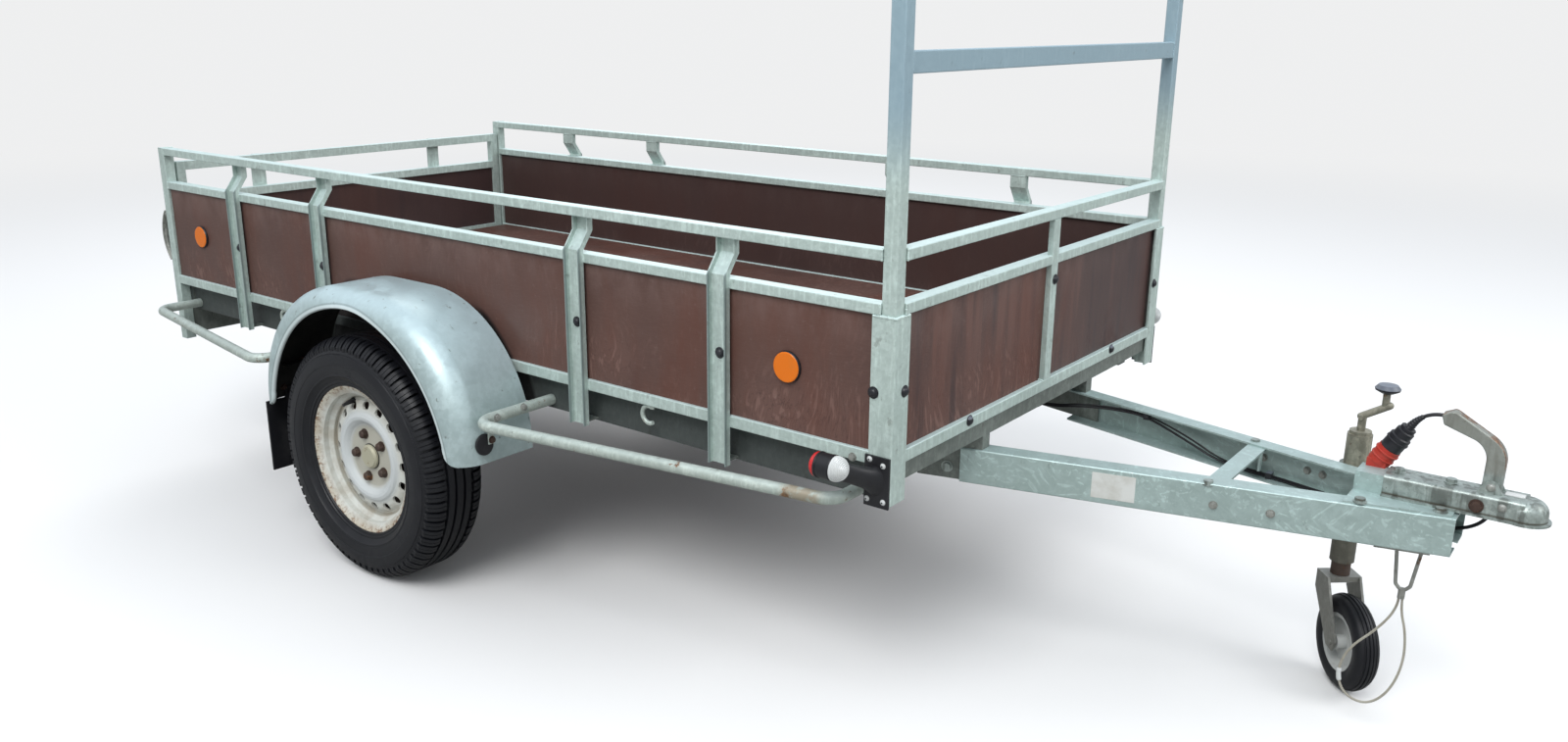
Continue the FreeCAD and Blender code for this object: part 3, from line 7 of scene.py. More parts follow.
# %% Load the solids
import json
import math
import bmesh
import bpy
from mathutils import Matrix, Vector
from mathutils.bvhtree import BVHTree
from mathutils.geometry import interpolate_bezier


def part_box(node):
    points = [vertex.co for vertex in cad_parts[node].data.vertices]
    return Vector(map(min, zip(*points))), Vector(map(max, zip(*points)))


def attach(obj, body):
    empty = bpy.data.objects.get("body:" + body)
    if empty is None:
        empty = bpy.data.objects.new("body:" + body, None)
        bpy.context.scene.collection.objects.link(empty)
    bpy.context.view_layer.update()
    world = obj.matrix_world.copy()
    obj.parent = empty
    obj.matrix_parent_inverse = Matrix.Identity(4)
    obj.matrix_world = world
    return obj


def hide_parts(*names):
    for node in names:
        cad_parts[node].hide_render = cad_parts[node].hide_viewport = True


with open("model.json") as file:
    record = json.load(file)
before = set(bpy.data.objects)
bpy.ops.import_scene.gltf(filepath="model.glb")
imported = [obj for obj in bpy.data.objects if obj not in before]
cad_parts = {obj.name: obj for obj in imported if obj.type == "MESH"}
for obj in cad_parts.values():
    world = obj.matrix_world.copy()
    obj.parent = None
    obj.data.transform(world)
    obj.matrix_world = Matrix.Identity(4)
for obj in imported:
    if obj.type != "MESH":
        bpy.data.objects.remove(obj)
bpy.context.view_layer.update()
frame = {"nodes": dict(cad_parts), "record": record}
nodes = frame["nodes"]
scene = bpy.context.scene
both_sides = ((-1, "right"), (1, "left"))
print("solids", len(nodes))

# %% [markdown]
# Places on a trailer are easiest to say the way its maker measures them: forward of the
# body's rear face, left of the middle, and over the ground, in millimetres. One small
# function turns such a place into the frame's metres.

# %% Places on the trailer
REAR_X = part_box("rear_posts")[0].x


def at(forward, left, up):
    """A place in millimetres from the body's rear face, the middle and the ground."""
    return Vector((REAR_X + forward / 1000.0, left / 1000.0, up / 1000.0))


def link_object(name, data):
    """New object in the scene."""
    thing = bpy.data.objects.new(name, data)
    scene.collection.objects.link(thing)
    return thing


print("rear face at", round(REAR_X, 4))

# %% [markdown]
# ## Camera
# The photograph was taken from the front right corner at about eye height of a seated
# person, with a wide lens. The camera's heading, pitch and roll were solved from points
# whose real places are known, so the picture lines up without any shift.

# %% Camera
heading, pitch, roll = (math.radians(angle) for angle in (127.067, -16.201, 0.551))
ahead = Vector((math.cos(heading) * math.cos(pitch), math.sin(heading) * math.cos(pitch), math.sin(pitch)))
level_right = ahead.cross(Vector((0, 0, 1))).normalized()
level_up = level_right.cross(ahead)
camera_right = math.cos(roll) * level_right + math.sin(roll) * level_up
camera_up = math.cos(roll) * level_up - math.sin(roll) * level_right
camera_data = bpy.data.cameras.new("camera")
camera_data.sensor_width = 36.0
camera_data.lens = 28.22
camera_data.clip_end = 200.0
camera = link_object("camera", camera_data)
camera.matrix_world = Matrix((camera_right, camera_up, -ahead)).transposed().to_4x4()
camera.location = at(3640.4, -2415.2, 1328.7)
scene.camera = camera
print("camera at", [round(v, 3) for v in camera.location])

# %% [markdown]
# ## Shader tools
# Shader nodes are quicker to place with short functions, which work on one tree at a
# time. A small class stands for a node's output, so that a sum of outputs is written as
# a sum. A value may be a number, a colour or another node's output.

# %% Outputs that can be summed
bench = {"tree": None}


class Value:
    """One output of a node, ready for sums."""

    def __init__(self, socket):
        self.socket = socket

    def __add__(self, other):
        return maths("ADD", self, other)

    def __radd__(self, other):
        return maths("ADD", other, self)

    def __sub__(self, other):
        return maths("SUBTRACT", self, other)

    def __rsub__(self, other):
        return maths("SUBTRACT", other, self)

    def __mul__(self, other):
        return maths("MULTIPLY", self, other)

    def __abs__(self):
        return maths("ABSOLUTE", self)


# %% Node helpers
def work_on(tree):
    """Put the nodes that follow into this tree."""
    bench["tree"] = tree
    return tree


def connect(value, socket):
    """Link an output to a socket, or set the socket's plain value."""
    if isinstance(value, Value):
        bench["tree"].links.new(value.socket, socket)
    elif socket.type == "RGBA":
        socket.default_value = (*value[:3], 1.0)
    else:
        socket.default_value = value


def add(kind, inputs=None, out=0, **settings):
    """Add a node, set its properties, fill its inputs, and give one of its outputs."""
    node = bench["tree"].nodes.new(kind)
    for key, value in settings.items():
        setattr(node, key, value)
    for key, value in (inputs or {}).items():
        connect(value, node.inputs[key])
    return Value(node.outputs[out])


def maths(operation, first, second=0.0, clamp=False):
    """One Math node."""
    return add("ShaderNodeMath", {0: first, 1: second}, operation=operation, use_clamp=clamp)


def vector_maths(operation, first, second=None, scale=None):
    """One Vector Math node. Lengths, distances and dot products are plain numbers."""
    inputs = {0: first, 1: second, "Scale": scale}
    given = {key: value for key, value in inputs.items() if value is not None}
    out = "Value" if operation in ("LENGTH", "DISTANCE", "DOT_PRODUCT") else 0
    return add("ShaderNodeVectorMath", given, out, operation=operation)


def combine(**parts):
    """Vector from its X, Y and Z."""
    return add("ShaderNodeCombineXYZ", parts)


def split(vector):
    """X, Y and Z of a vector."""
    node = add("ShaderNodeSeparateXYZ", {"Vector": vector}).socket.node
    return [Value(output) for output in node.outputs]


def spread(value, low, high, to_low=0.0, to_high=1.0):
    """Smooth step of a value from one range to another."""
    inputs = {"Value": value, "From Min": low, "From Max": high, "To Min": to_low, "To Max": to_high}
    return add("ShaderNodeMapRange", inputs, "Result", interpolation_type="SMOOTHSTEP")


def band(value, start, full, fall, end):
    """Mask that is full between two values and fades on both sides."""
    return spread(value, start, full) * spread(value, end, fall)


def lay(under, over, mask, amount=None):
    """Lay one colour over another where a mask is high."""
    if amount is not None:
        mask = mask * amount
    node = bench["tree"].nodes.new("ShaderNodeMix")
    node.data_type = "RGBA"
    for value, name in ((mask, "Factor_Float"), (under, "A_Color"), (over, "B_Color")):
        connect(value, next(item for item in node.inputs if item.identifier == name))
    return Value(next(item for item in node.outputs if item.identifier == "Result_Color"))


# %% Coordinates and noise
def coordinates(kind="Object"):
    """Place or normal, in the object's own frame."""
    return add("ShaderNodeTexCoord", out=kind)


def object_place(scale=(1.0, 1.0, 1.0)):
    """Object coordinates, stretched along the three axes."""
    return add("ShaderNodeMapping", {"Vector": coordinates(), "Scale": scale})


def noise(place, scale, detail, out="Fac", **more):
    """Noise on a place."""
    return add("ShaderNodeTexNoise", {"Vector": place, "Scale": scale, "Detail": detail, **more}, out)


def seeded_noise(place, scale, detail, roughness, seed):
    """Noise whose pattern changes with a seed."""
    inputs = {"Vector": place, "W": seed, "Scale": scale, "Detail": detail, "Roughness": roughness}
    return add("ShaderNodeTexNoise", inputs, "Fac", noise_dimensions="4D")


def cells(place, scale):
    """Voronoi cells, each in a random colour."""
    return add("ShaderNodeTexVoronoi", {"Vector": place, "Scale": scale}, "Color")


# %% Groups
def group_ends(tree):
    """Both ends of a node group: what it is given and what it gives."""
    given = {socket.name: Value(socket) for socket in tree.nodes.new("NodeGroupInput").outputs}
    return given, tree.nodes.new("NodeGroupOutput").inputs


def shader_group(name, inputs, outputs):
    """Start a shader group with named sockets."""
    tree = work_on(bpy.data.node_groups.new(name, "ShaderNodeTree"))
    for label, value in inputs.items():
        kind = "NodeSocketVector" if isinstance(value, tuple) else "NodeSocketFloat"
        tree.interface.new_socket(name=label, in_out="INPUT", socket_type=kind).default_value = value
    for label in outputs:
        kind = "NodeSocketColor" if label == "Colour" else "NodeSocketFloat"
        tree.interface.new_socket(name=label, in_out="OUTPUT", socket_type=kind)
    print("group", name)
    return tree, *group_ends(tree)


def use_group(group, **values):
    """Place a shader group with its own values."""
    node = add("ShaderNodeGroup", values, node_tree=group).socket.node
    return {output.name: Value(output) for output in node.outputs}


# %% [markdown]
# ### Zinc crystals
# Hot-dip galvanised sheet cools into flat crystals, each with its own shade. Voronoi
# cells give the crystals, and a little noise bends their borders so that they look like
# frost and not like tiles. Thin sheet has large crystals and thick tube has small ones.

# %% Zinc crystal group
zinc_crystals, given, made = shader_group("zinc_crystals", {"Cells": 60.0, "Warp": 0.006}, ("Shade", "Grain"))
place = object_place()
bend = vector_maths("SUBTRACT", noise(place, 90.0, 3.0, "Color"), (0.5, 0.5, 0.5))
bent = vector_maths("ADD", place, vector_maths("SCALE", bend, scale=given["Warp"]))
large = add("ShaderNodeSeparateColor", {"Color": cells(bent, given["Cells"])}, 0)
small = add("ShaderNodeSeparateColor", {"Color": cells(bent, given["Cells"] * 2.7)}, 1)
connect(large * 0.7 + small * 0.3, made["Shade"])
connect(noise(place, 700.0, 2.0), made["Grain"])

# %% [markdown]
# ### Zinc strokes
# On the folded beams the zinc shows pale strokes like brush marks, each crystal with its
# own direction. The place is turned by a random angle inside each large cell, and noise
# pulled long in that direction draws the strokes.

# %% Zinc stroke group
full_turn = 6.283
stroke_sizes = {"Cells": 22.0, "Width": 190.0, "Amount": 0.45}
zinc_strokes, given, made = shader_group("zinc_strokes", stroke_sizes, ("Mask",))
place = object_place()
angles = vector_maths("SCALE", cells(place, given["Cells"]), scale=full_turn)
turned = add("ShaderNodeVectorRotate", {"Vector": place, "Rotation": angles}, rotation_type="EULER_XYZ")
pulled = vector_maths("MULTIPLY", turned, (1.0, 1.0, 0.14))
strokes = noise(pulled, given["Width"], 2.0, Distortion=0.8)
start = 1.0 - given["Amount"]
connect(spread(strokes, start, start + 0.1), made["Mask"])

# %% [markdown]
# ### Which way a face looks
# Faces that look up are painted pale and bluish, a painted sky highlight, and faces that look
# inward, under a mudguard or in the load space, are painted darker, a painted shade. The group
# gives both masks from the face's normal.

# %% Facing group
unit = (1.0, 1.0, 1.0)
origin = (0.0, 0.0, 0.0)
face_masks, given, made = shader_group("face_masks", {"Centre": origin, "Flat": unit}, ("Up", "Inward_shade"))
here = coordinates()
normal = coordinates("Normal")
# Up: a painted sky highlight on faces that look up.
connect(spread(split(normal)[2], 0.2, 0.9), made["Up"])
mirror = combine(X=1.0, Y=maths("SIGN", split(here)[1]), Z=1.0)
toward = vector_maths("SUBTRACT", vector_maths("MULTIPLY", given["Centre"], mirror), here)
flat_way = vector_maths("NORMALIZE", vector_maths("MULTIPLY", toward, given["Flat"]))
# Inward: painted shade on faces that look inward.
connect(spread(vector_maths("DOT_PRODUCT", flat_way, normal), 0.1, 0.3), made["Inward_shade"])

# %% [markdown]
# ### Stains
# Dirt, white corrosion and faded patches are all soft-edged blots. One group makes them
# at any size, and can pull them downward into streaks, as rain does.

# %% Stain group
stain_sizes = {"Size": 8.0, "Amount": 0.5, "Softness": 0.15, "Pull": 1.0, "Seed": 0.0}
stain_blots, given, made = shader_group("stain_blots", stain_sizes, ("Mask",))
pulled = vector_maths("MULTIPLY", object_place(), combine(X=1.0, Y=1.0, Z=given["Pull"]))
blots = seeded_noise(pulled, given["Size"], 7.0, 0.62, given["Seed"])
start = 1.0 - given["Amount"]
connect(spread(blots, start - given["Softness"], start + given["Softness"]), made["Mask"])


def stains(size, amount, softness, pull, seed):
    """Mask of soft-edged blots."""
    return use_group(stain_blots, Size=size, Amount=amount, Softness=softness, Pull=pull, Seed=seed)["Mask"]


# %% [markdown]
# ### Rust
# Rust starts in small spots that join into patches, orange at the rim and nearly black
# in the middle. The group gives the mask and the colour of each spot.

# %% Rust group
rust_sizes = {"Size": 30.0, "Amount": 0.4, "Seed": 3.0}
rust_spots, given, made = shader_group("rust_spots", rust_sizes, ("Mask", "Colour"))
place = object_place()
patches = seeded_noise(place, given["Size"], 8.0, 0.7, given["Seed"])
start = 1.0 - given["Amount"]
connect(spread(patches, start, start + 0.07), made["Mask"])
deep = spread(noise(place, 260.0, 4.0), 0.35, 0.62)
connect(lay((0.065, 0.03, 0.018), (0.23, 0.105, 0.042), deep), made["Colour"])

# %% [markdown]
# ### Road dirt
# Spray from the road dulls whatever is low on the trailer. The group fades out upward,
# with a ragged border.

# %% Road dirt group
road_dirt, given, made = shader_group("road_dirt", {"Top": 0.5, "Strength": 0.6}, ("Mask",))
place = object_place()
raised = split(place)[2] + noise(place, 14.0, 8.0, Roughness=0.7) * 0.3 - 0.15
connect(spread(raised, given["Top"] * 0.35, given["Top"], 1.0, 0.0) * given["Strength"], made["Mask"])

# %% [markdown]
# ### Shade and grime behind the wheel
# Whatever the mudguard hides behind the tyre is painted black: painted shade, together with
# the road grime, water and dirt that the wheel throws up. The group follows the arch of the
# mudguard and keeps off the load space.

# %% Wheel shade and grime group
guard_low, guard_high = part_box("mudguard_right")
arch_shift = -0.05
guard_x = (guard_low.x + guard_high.x) / 2.0 + arch_shift
arch_half_flat = 0.073
arch_foot = 0.386
wheel_shade_and_grime, given, made = shader_group("wheel_shade_and_grime", {"Reach": 0.345, "Strength": 0.95}, ("Mask",))
x, y, z = split(object_place())
past_flat = maths("MAXIMUM", abs(x - guard_x) - arch_half_flat, 0.0)
over = maths("MAXIMUM", z - arch_foot, 0.0)
out_of_arch = vector_maths("LENGTH", combine(X=past_flat, Z=over))
border = 0.012
sharpness = 83.0
clean = maths("MULTIPLY", out_of_arch - (given["Reach"] - border), sharpness, clamp=True)
beside_walls = spread(abs(y), 0.6255, 0.6265)
below = spread(z, 0.545, 0.54)
reached = maths("MAXIMUM", beside_walls, below) * spread(z, 0.68, 0.65)
# Mask of the painted black shade and grime behind the wheel.
connect((1.0 - clean) * reached * given["Strength"], made["Mask"])
print("wheel grime about", round(guard_x, 3))

# %% [markdown]
# ## Finishes
# Each finish is one Principled shader. A small function starts the material and gives
# the shader's inputs, and the groups above feed its colour, roughness and bump.

# %% Start and end of a finish
finish = {}
# Black of the painted shade and grime behind the wheels.
shade_and_soot = (0.008, 0.008, 0.008)


def new_finish(name, roughness, metallic=0.0, specular=0.5):
    """Start a material under the name of its slot, and give its shader's inputs."""
    material = bpy.data.materials.new(name)
    material.use_nodes = True
    finish[name] = material
    inputs = work_on(material.node_tree).nodes["Principled BSDF"].inputs
    inputs["Roughness"].default_value = roughness
    inputs["Metallic"].default_value = metallic
    inputs["Specular IOR Level"].default_value = specular
    return inputs


def end_finish(inputs, colour, rough=None, bump=None):
    """Feed a shader. The bump is a height with its strength and distance."""
    connect(colour, inputs["Base Color"])
    if rough is not None:
        connect(rough, inputs["Roughness"])
    if bump is not None:
        values = dict(zip(("Height", "Strength", "Distance"), bump))
        connect(add("ShaderNodeBump", values), inputs["Normal"])


# %% [markdown]
# ### Galvanised steel
# All steel of the frame has been dipped in zinc, and each piece has aged in its own way:
# the sheet beams show large crystals, the rails small ones and pale streaks, and the
# parts near the road are dull and stained. The chassis's colours are painted dark for the
# shade under the body, and faces that look up get a painted sky highlight. Some finishes
# also have marks of their own, each in a short function that takes the colour and the
# roughness and gives them back.


# %% Marks of the rails, the coupling and the jockey wheel's tube
def rail_marks(colour):
    """Stakes a little darker than the rails, and a painted bluish sky reflection on the rack."""
    x, y, z = split(object_place())
    colour = lay(colour, (0.175, 0.225, 0.22), spread(abs(y), 0.642, 0.648), 0.8)
    # The rack's bluish tone is a painted sky reflection.
    return lay(colour, (0.235, 0.345, 0.42), spread(z, 1.02, 1.2), 0.8)


def coupling_marks(colour, rough):
    """Drips, a brown handle, a shadow over the socket's lip, and rust on the edges."""
    drips = noise(object_place((1.0, 1.0, 0.12)), 75.0, 4.0)
    colour = lay(colour, (0.075, 0.08, 0.07), spread(drips, 0.5, 0.62), 0.6)
    x, y, height = split(object_place())
    handle = spread(height, 0.545, 0.56)
    colour = lay(colour, (0.25, 0.25, 0.22), handle, 0.7)
    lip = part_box("coupling_head")[0].z + 0.004
    above_lip = band(height, lip, lip + 0.0004, lip + 0.002, lip + 0.006)
    colour = lay(colour, (0.075, 0.062, 0.045), above_lip, 0.8)
    narrow = spread(abs(split(coordinates("Normal"))[1]), 0.9, 0.5)
    edge = use_group(rust_spots, Size=38.0, Amount=0.52, Seed=4.0)
    return lay(colour, edge["Colour"], narrow * handle * edge["Mask"], 0.9), rough


def jockey_marks(colour, rough):
    """The tube is oily and dark towards its lower end."""
    x, y, height = split(object_place())
    return lay(colour, (0.055, 0.056, 0.048), spread(height, 0.42, 0.38, 0.0, 0.6)), rough


# %% Marks of the chassis, the bent tubes and the mudguards
def wheel_shade_and_spray(colour, rough):
    """Painted black shade and grime behind the wheel; the grime also makes it dull."""
    shaded_and_sprayed = use_group(wheel_shade_and_grime, Reach=0.345, Strength=0.95)["Mask"]
    return lay(colour, shade_and_soot, shaded_and_sprayed), maths("ADD", rough, shaded_and_sprayed * 0.3, clamp=True)


def chassis_marks(colour, rough):
    """The outer faces under the body lie in its shade."""
    x, y, z = split(object_place())
    sideways = spread(abs(split(coordinates("Normal"))[1]), 0.5, 0.9)
    outer = sideways * spread(abs(y), 0.45, 0.5)
    shaded = outer * spread(x, REAR_X + 2.47, REAR_X + 2.45, 0.0, 0.72)
    return wheel_shade_and_spray(lay(colour, (0.026, 0.032, 0.034), shaded), rough)


def tube_marks(colour, rough):
    """A brown stain on the bend of the front tube."""
    mirrored = vector_maths("ABSOLUTE", object_place())
    near = vector_maths("DISTANCE", mirrored, (REAR_X + 2.40, 0.722, 0.476))
    stain = stains(60.0, 0.6, 0.1, 1.0, 14.0) * spread(near, 0.055, 0.025, 0.0, 0.7)
    return lay(colour, (0.26, 0.19, 0.115), stain), rough


def mudguard_marks(colour, rough):
    """Black inside, painted shade with some grime, a painted highlight along the rolled edge and a painted
    shadow beside it.
    """
    low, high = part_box("tyre_left")
    wheel = (low + high) / 2.0
    # Faces inside the mudguard are painted near black: painted shade with some grime.
    under = use_group(face_masks, Centre=tuple(wheel), Flat=unit)["Inward_shade"]
    inside_shade_and_grime = lay((0.010, 0.010, 0.010), (0.030, 0.030, 0.027), stains(14.0, 0.5, 0.2, 1.0, 12.0))
    colour = lay(colour, inside_shade_and_grime, under)
    in_plane = vector_maths("MULTIPLY", object_place(), (1.0, 0.0, 1.0))
    reach = vector_maths("DISTANCE", in_plane, (wheel.x + 0.025, 0.0, wheel.z + 0.036))
    # A dark line beside the rolled edge: a painted shadow.
    colour = lay(colour, (0.17, 0.20, 0.20), band(reach, 0.3465, 0.348, 0.349, 0.352), 0.45)
    # The rolled edge is painted pale: a painted highlight.
    edge = spread(reach, 0.347, 0.3455) * spread(reach, 0.333, 0.335)
    return lay(colour, (0.66, 0.74, 0.74), edge, 0.7), maths("ADD", rough, under * 0.35, clamp=True)


zinc_marks = {
    "coupling_zinc": coupling_marks,
    "jockey_zinc": jockey_marks,
    "galvanised": chassis_marks,
    "galvanised_rails": wheel_shade_and_spray,
    "tube_zinc": tube_marks,
    "mudguard_zinc": mudguard_marks,
}


# %% Galvanised finishes
def toned(colour, red, green=None, blue=None):
    """A darker or paler colour, by one factor or by one for each channel."""
    factors = (red, green or red, blue or red)
    return tuple(min(1.0, factor * value) for factor, value in zip(factors, colour))


def zinc_finish(slot, dark, light, size, rough, metal, strokes, streaks, dirt, rust, sky):
    """Galvanised steel: crystal shades, strokes, streaks, stains, and rust where asked."""
    inputs = new_finish(slot, rough, metal, 0.4)
    crystals = use_group(zinc_crystals, Cells=size, Warp=0.35 / size)
    shade = maths("ADD", (crystals["Shade"] - 0.5) * 0.8, 0.5, clamp=True)
    colour = lay(dark, light, shade)
    pale = toned(light, 1.32)
    if strokes > 0.0:
        mask = use_group(zinc_strokes, Cells=15.0, Width=105.0, Amount=0.45)["Mask"]
        colour = lay(colour, pale, mask, strokes)
    if streaks > 0.0:
        across = noise(object_place((1.0, 1.0, 0.13)), 120.0, 3.0)
        colour = lay(colour, pale, spread(across, 0.5, 0.64), streaks)
    colour = lay(colour, toned(dark, 0.85), stains(5.0, 0.47, 0.14, 0.3, 1.0), 0.35)
    colour = lay(colour, toned(dark, 0.88), stains(75.0, 0.5, 0.05, 0.8, 3.0), 0.3)
    # Faces that look up get a paler, bluer colour: a painted sky highlight.
    colour = lay(colour, toned(light, 1.08, 1.13, 1.22), use_group(face_masks)["Up"], sky)
    if slot == "galvanised_rails":
        colour = rail_marks(colour)
    colour = lay(colour, (0.10, 0.097, 0.08), stains(46.0, 0.35, 0.03, 0.6, 6.0), dirt)
    low = use_group(road_dirt, Top=0.5, Strength=0.35 * dirt + 0.08)["Mask"]
    colour = lay(colour, (0.13, 0.12, 0.10), low)
    dull = spread(crystals["Shade"], 0.0, 1.0, rough - 0.07, rough + 0.1)
    if rust > 0.0:
        spots = use_group(rust_spots, Size=24.0, Amount=rust, Seed=len(slot) + 0.5)
        colour = lay(colour, spots["Colour"], spots["Mask"])
        dull = maths("ADD", dull, spots["Mask"] * 0.25, clamp=True)
    if slot in zinc_marks:
        colour, dull = zinc_marks[slot](colour, dull)
    end_finish(inputs, colour, dull, (crystals["Grain"], 0.25, 0.0006))


# Columns: slot, dark, light, crystals to the metre, rough, metal, strokes, streaks, dirt, rust, painted sky
# highlight
zinc_table = [
    # The chassis under the body: colours painted dark for the shade it lies in, a painted shade.
    ("galvanised", (0.118, 0.135, 0.122), (0.225, 0.25, 0.228), 70, 0.6, 0.3, 0.2, 0.2, 0.75, 0.33, 0.3),
    ("galvanised_rails", (0.385, 0.47, 0.435), (0.53, 0.63, 0.59), 150, 0.5, 0.3, 0.0, 0.35, 0.4, 0.0, 0.6),
    ("mudguard_zinc", (0.335, 0.425, 0.425), (0.485, 0.595, 0.60), 30, 0.36, 0.35, 0.0, 0.0, 0.6, 0.0, 0.5),
    ("tube_zinc", (0.33, 0.385, 0.35), (0.50, 0.56, 0.51), 150, 0.5, 0.3, 0.0, 0.3, 0.8, 0.41, 0.3),
    ("spangled_zinc", (0.325, 0.415, 0.395), (0.42, 0.53, 0.51), 30, 0.38, 0.4, 0.62, 0.0, 0.3, 0.0, 0.3),
    ("coupling_zinc", (0.20, 0.235, 0.215), (0.41, 0.465, 0.44), 90, 0.38, 0.5, 0.0, 0.3, 0.85, 0.39, 0.2),
    ("jockey_zinc", (0.15, 0.146, 0.112), (0.36, 0.345, 0.275), 90, 0.5, 0.4, 0.0, 0.3, 0.8, 0.42, 0.2),
    ("zinc", (0.22, 0.225, 0.205), (0.39, 0.40, 0.37), 120, 0.45, 0.5, 0.0, 0.2, 0.7, 0.40, 0.3),
    ("dark_steel", (0.045, 0.028, 0.022), (0.095, 0.058, 0.045), 90, 0.5, 0.4, 0.0, 0.2, 0.3, 0.45, 0.0),
]
for row in zinc_table:
    zinc_finish(*row)
print("zinc finishes", len(zinc_table))

# %% [markdown]
# ### Brown board
# The walls are film-faced plywood: smooth dark brown, with pale blooms low down where
# the film has lifted into wrinkles. Rain has left runs on the front board. Each of
# these is a mask, and the masks are laid over the base colour one after the other.

# %% Board finish
board = new_finish("brown_board", 0.42, 0.0, 0.22)
place = object_place()
x, y, height = split(place)
on_front = spread(abs(split(coordinates("Normal"))[0]), 0.5, 0.9)
colour = lay((0.076, 0.043, 0.037), (0.100, 0.055, 0.045), stains(2.4, 0.5, 0.2, 0.7, 3.0))
# Faces that look forward or back are painted darker: painted shade.
colour = lay(colour, (0.060, 0.036, 0.034), on_front, 0.4)
rolled = noise(object_place((1.0, 1.0, 9.0)), 60.0, 3.0)
colour = lay(colour, (0.120, 0.072, 0.060), spread(rolled, 0.4, 0.7), 0.3)

# %% Blooms with wrinkled film
bend = vector_maths("SUBTRACT", noise(place, 4.5, 1.0, "Color"), (0.5, 0.5, 0.5))
bent = vector_maths("ADD", place, vector_maths("SCALE", bend, scale=0.16))
pulled = vector_maths("MULTIPLY", bent, (1.0, 1.0, 0.16))
wrinkles = noise(pulled, 105.0, 2.0, Roughness=0.5)
bloom = stains(3.4, 0.52, 0.10, 0.8, 2.0) * spread(height, 0.60, 0.72, 1.0, 0.2)
colour = lay(colour, (0.145, 0.080, 0.066), bloom, 0.55)
crease = spread(abs(wrinkles - 0.47), 0.0, 0.03, 1.0, 0.0)
colour = lay(colour, (0.060, 0.034, 0.030), crease * bloom, 0.6)
colour = lay(colour, (0.24, 0.145, 0.122), spread(wrinkles, 0.56, 0.66) * bloom, 0.4)

# %% Rain marks, dirt and painted shade on the board
runs = noise(object_place((1.0, 1.0, 0.07)), 26.0, 5.0)
upper = spread(height, 0.58, 0.78, 0.25, 1.0)
colour = lay(colour, (0.155, 0.078, 0.062), spread(runs, 0.50, 0.62) * on_front * upper, 0.6)
colour = lay(colour, (0.045, 0.032, 0.033), spread(runs, 0.46, 0.36) * on_front, 0.7)
colour = lay(colour, (0.115, 0.038, 0.024), stains(4.5, 0.45, 0.12, 0.3, 8.0), 0.5)
near_top = stains(16.0, 0.5, 0.15, 0.5, 5.0) * spread(height, 0.72, 0.82)
colour = lay(colour, (0.185, 0.125, 0.112), near_top, 0.4)
colour = lay(colour, (0.21, 0.16, 0.145), stains(70.0, 0.36, 0.06, 1.0, 4.0), 0.14)
# Faces that look into the load space are painted darker: painted shade.
inward = use_group(face_masks, Centre=origin, Flat=(1.0, 1.0, 0.0))["Inward_shade"]
colour = lay(colour, (0.042, 0.026, 0.025), inward, 0.75)
# Painted black shade and grime behind the wheel.
colour, film_rough = wheel_shade_and_spray(colour, spread(bloom, 0.0, 1.0, 0.38, 0.58))
# Faces that look forward or back are painted darker on the left side: painted shade.
colour = lay(colour, (0.040, 0.026, 0.027), on_front * spread(y, 0.02, 0.3), 0.55)
end_finish(board, colour, film_rough, (rolled * 0.25 + crease * (bloom * -0.8), 0.25, 0.0012))
print("board finish made")

# %% [markdown]
# ### Painted rims
# The rims are white paint gone cream, with rust eating in from the flange and from
# every edge. The distance from the wheel's axis tells the shader where the flange is,
# because both wheels turn about the same line across the trailer.

# %% Rim finish
wheel_low, wheel_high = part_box("tyre_right")
wheel_middle = (wheel_low + wheel_high) / 2.0
rim = new_finish("rim_paint", 0.42, 0.0, 0.45)
flat = vector_maths("MULTIPLY", coordinates(), (1.0, 0.0, 1.0))
radius = vector_maths("DISTANCE", flat, (wheel_middle.x, 0.0, wheel_middle.z))
patchy = use_group(rust_spots, Size=48.0, Amount=0.36, Seed=5.0)
edge_rust = use_group(rust_spots, Size=95.0, Amount=0.51, Seed=9.0)
on_wheel = spread(radius, 0.186, 0.19, 1.0, 0.0)
near_flange = spread(radius, 0.160, 0.180) * on_wheel
colour = lay((0.40, 0.39, 0.33), (0.51, 0.54, 0.54), spread(radius, 0.070, 0.086))
colour = lay(colour, (0.56, 0.575, 0.535), spread(radius, 0.108, 0.122) * on_wheel)
# A dark band just outside the holes is painted shade in the rim's well.
colour = lay(colour, (0.22, 0.21, 0.17), band(radius, 0.139, 0.146, 0.149, 0.152), 0.6)
colour = lay(colour, (0.36, 0.36, 0.33), spread(radius, 0.186, 0.19, 0.0, 0.5))
outer = spread(radius, 0.104, 0.15) * on_wheel
colour = lay(colour, (0.27, 0.215, 0.14), stains(20.0, 0.5, 0.12, 1.0, 7.0) * 0.45 * outer)
colour = lay(colour, (0.50, 0.40, 0.25), near_flange, 0.35)
flange_mask = edge_rust["Mask"] * near_flange
colour = lay(colour, edge_rust["Colour"], flange_mask, 0.85)
colour = lay(colour, patchy["Colour"], patchy["Mask"] * 0.8 * outer)
end_finish(rim, colour, flange_mask * 0.3 + 0.42, (edge_rust["Mask"], 0.15, 0.0008))

hub = new_finish("hub_steel", 0.6, 0.3, 0.4)
spots = use_group(rust_spots, Size=60.0, Amount=0.42, Seed=2.0)
end_finish(hub, lay((0.43, 0.415, 0.31), spots["Colour"], spots["Mask"]))
print("rim finishes made")

# %% [markdown]
# ### Rubber, plastic and lenses
# Tyres, flaps, caps and cables are black, but no two blacks on a trailer are alike:
# sidewalls turn grey and dusty, caps keep some gloss, and lenses are coloured and
# glossy. A table gives each its values.

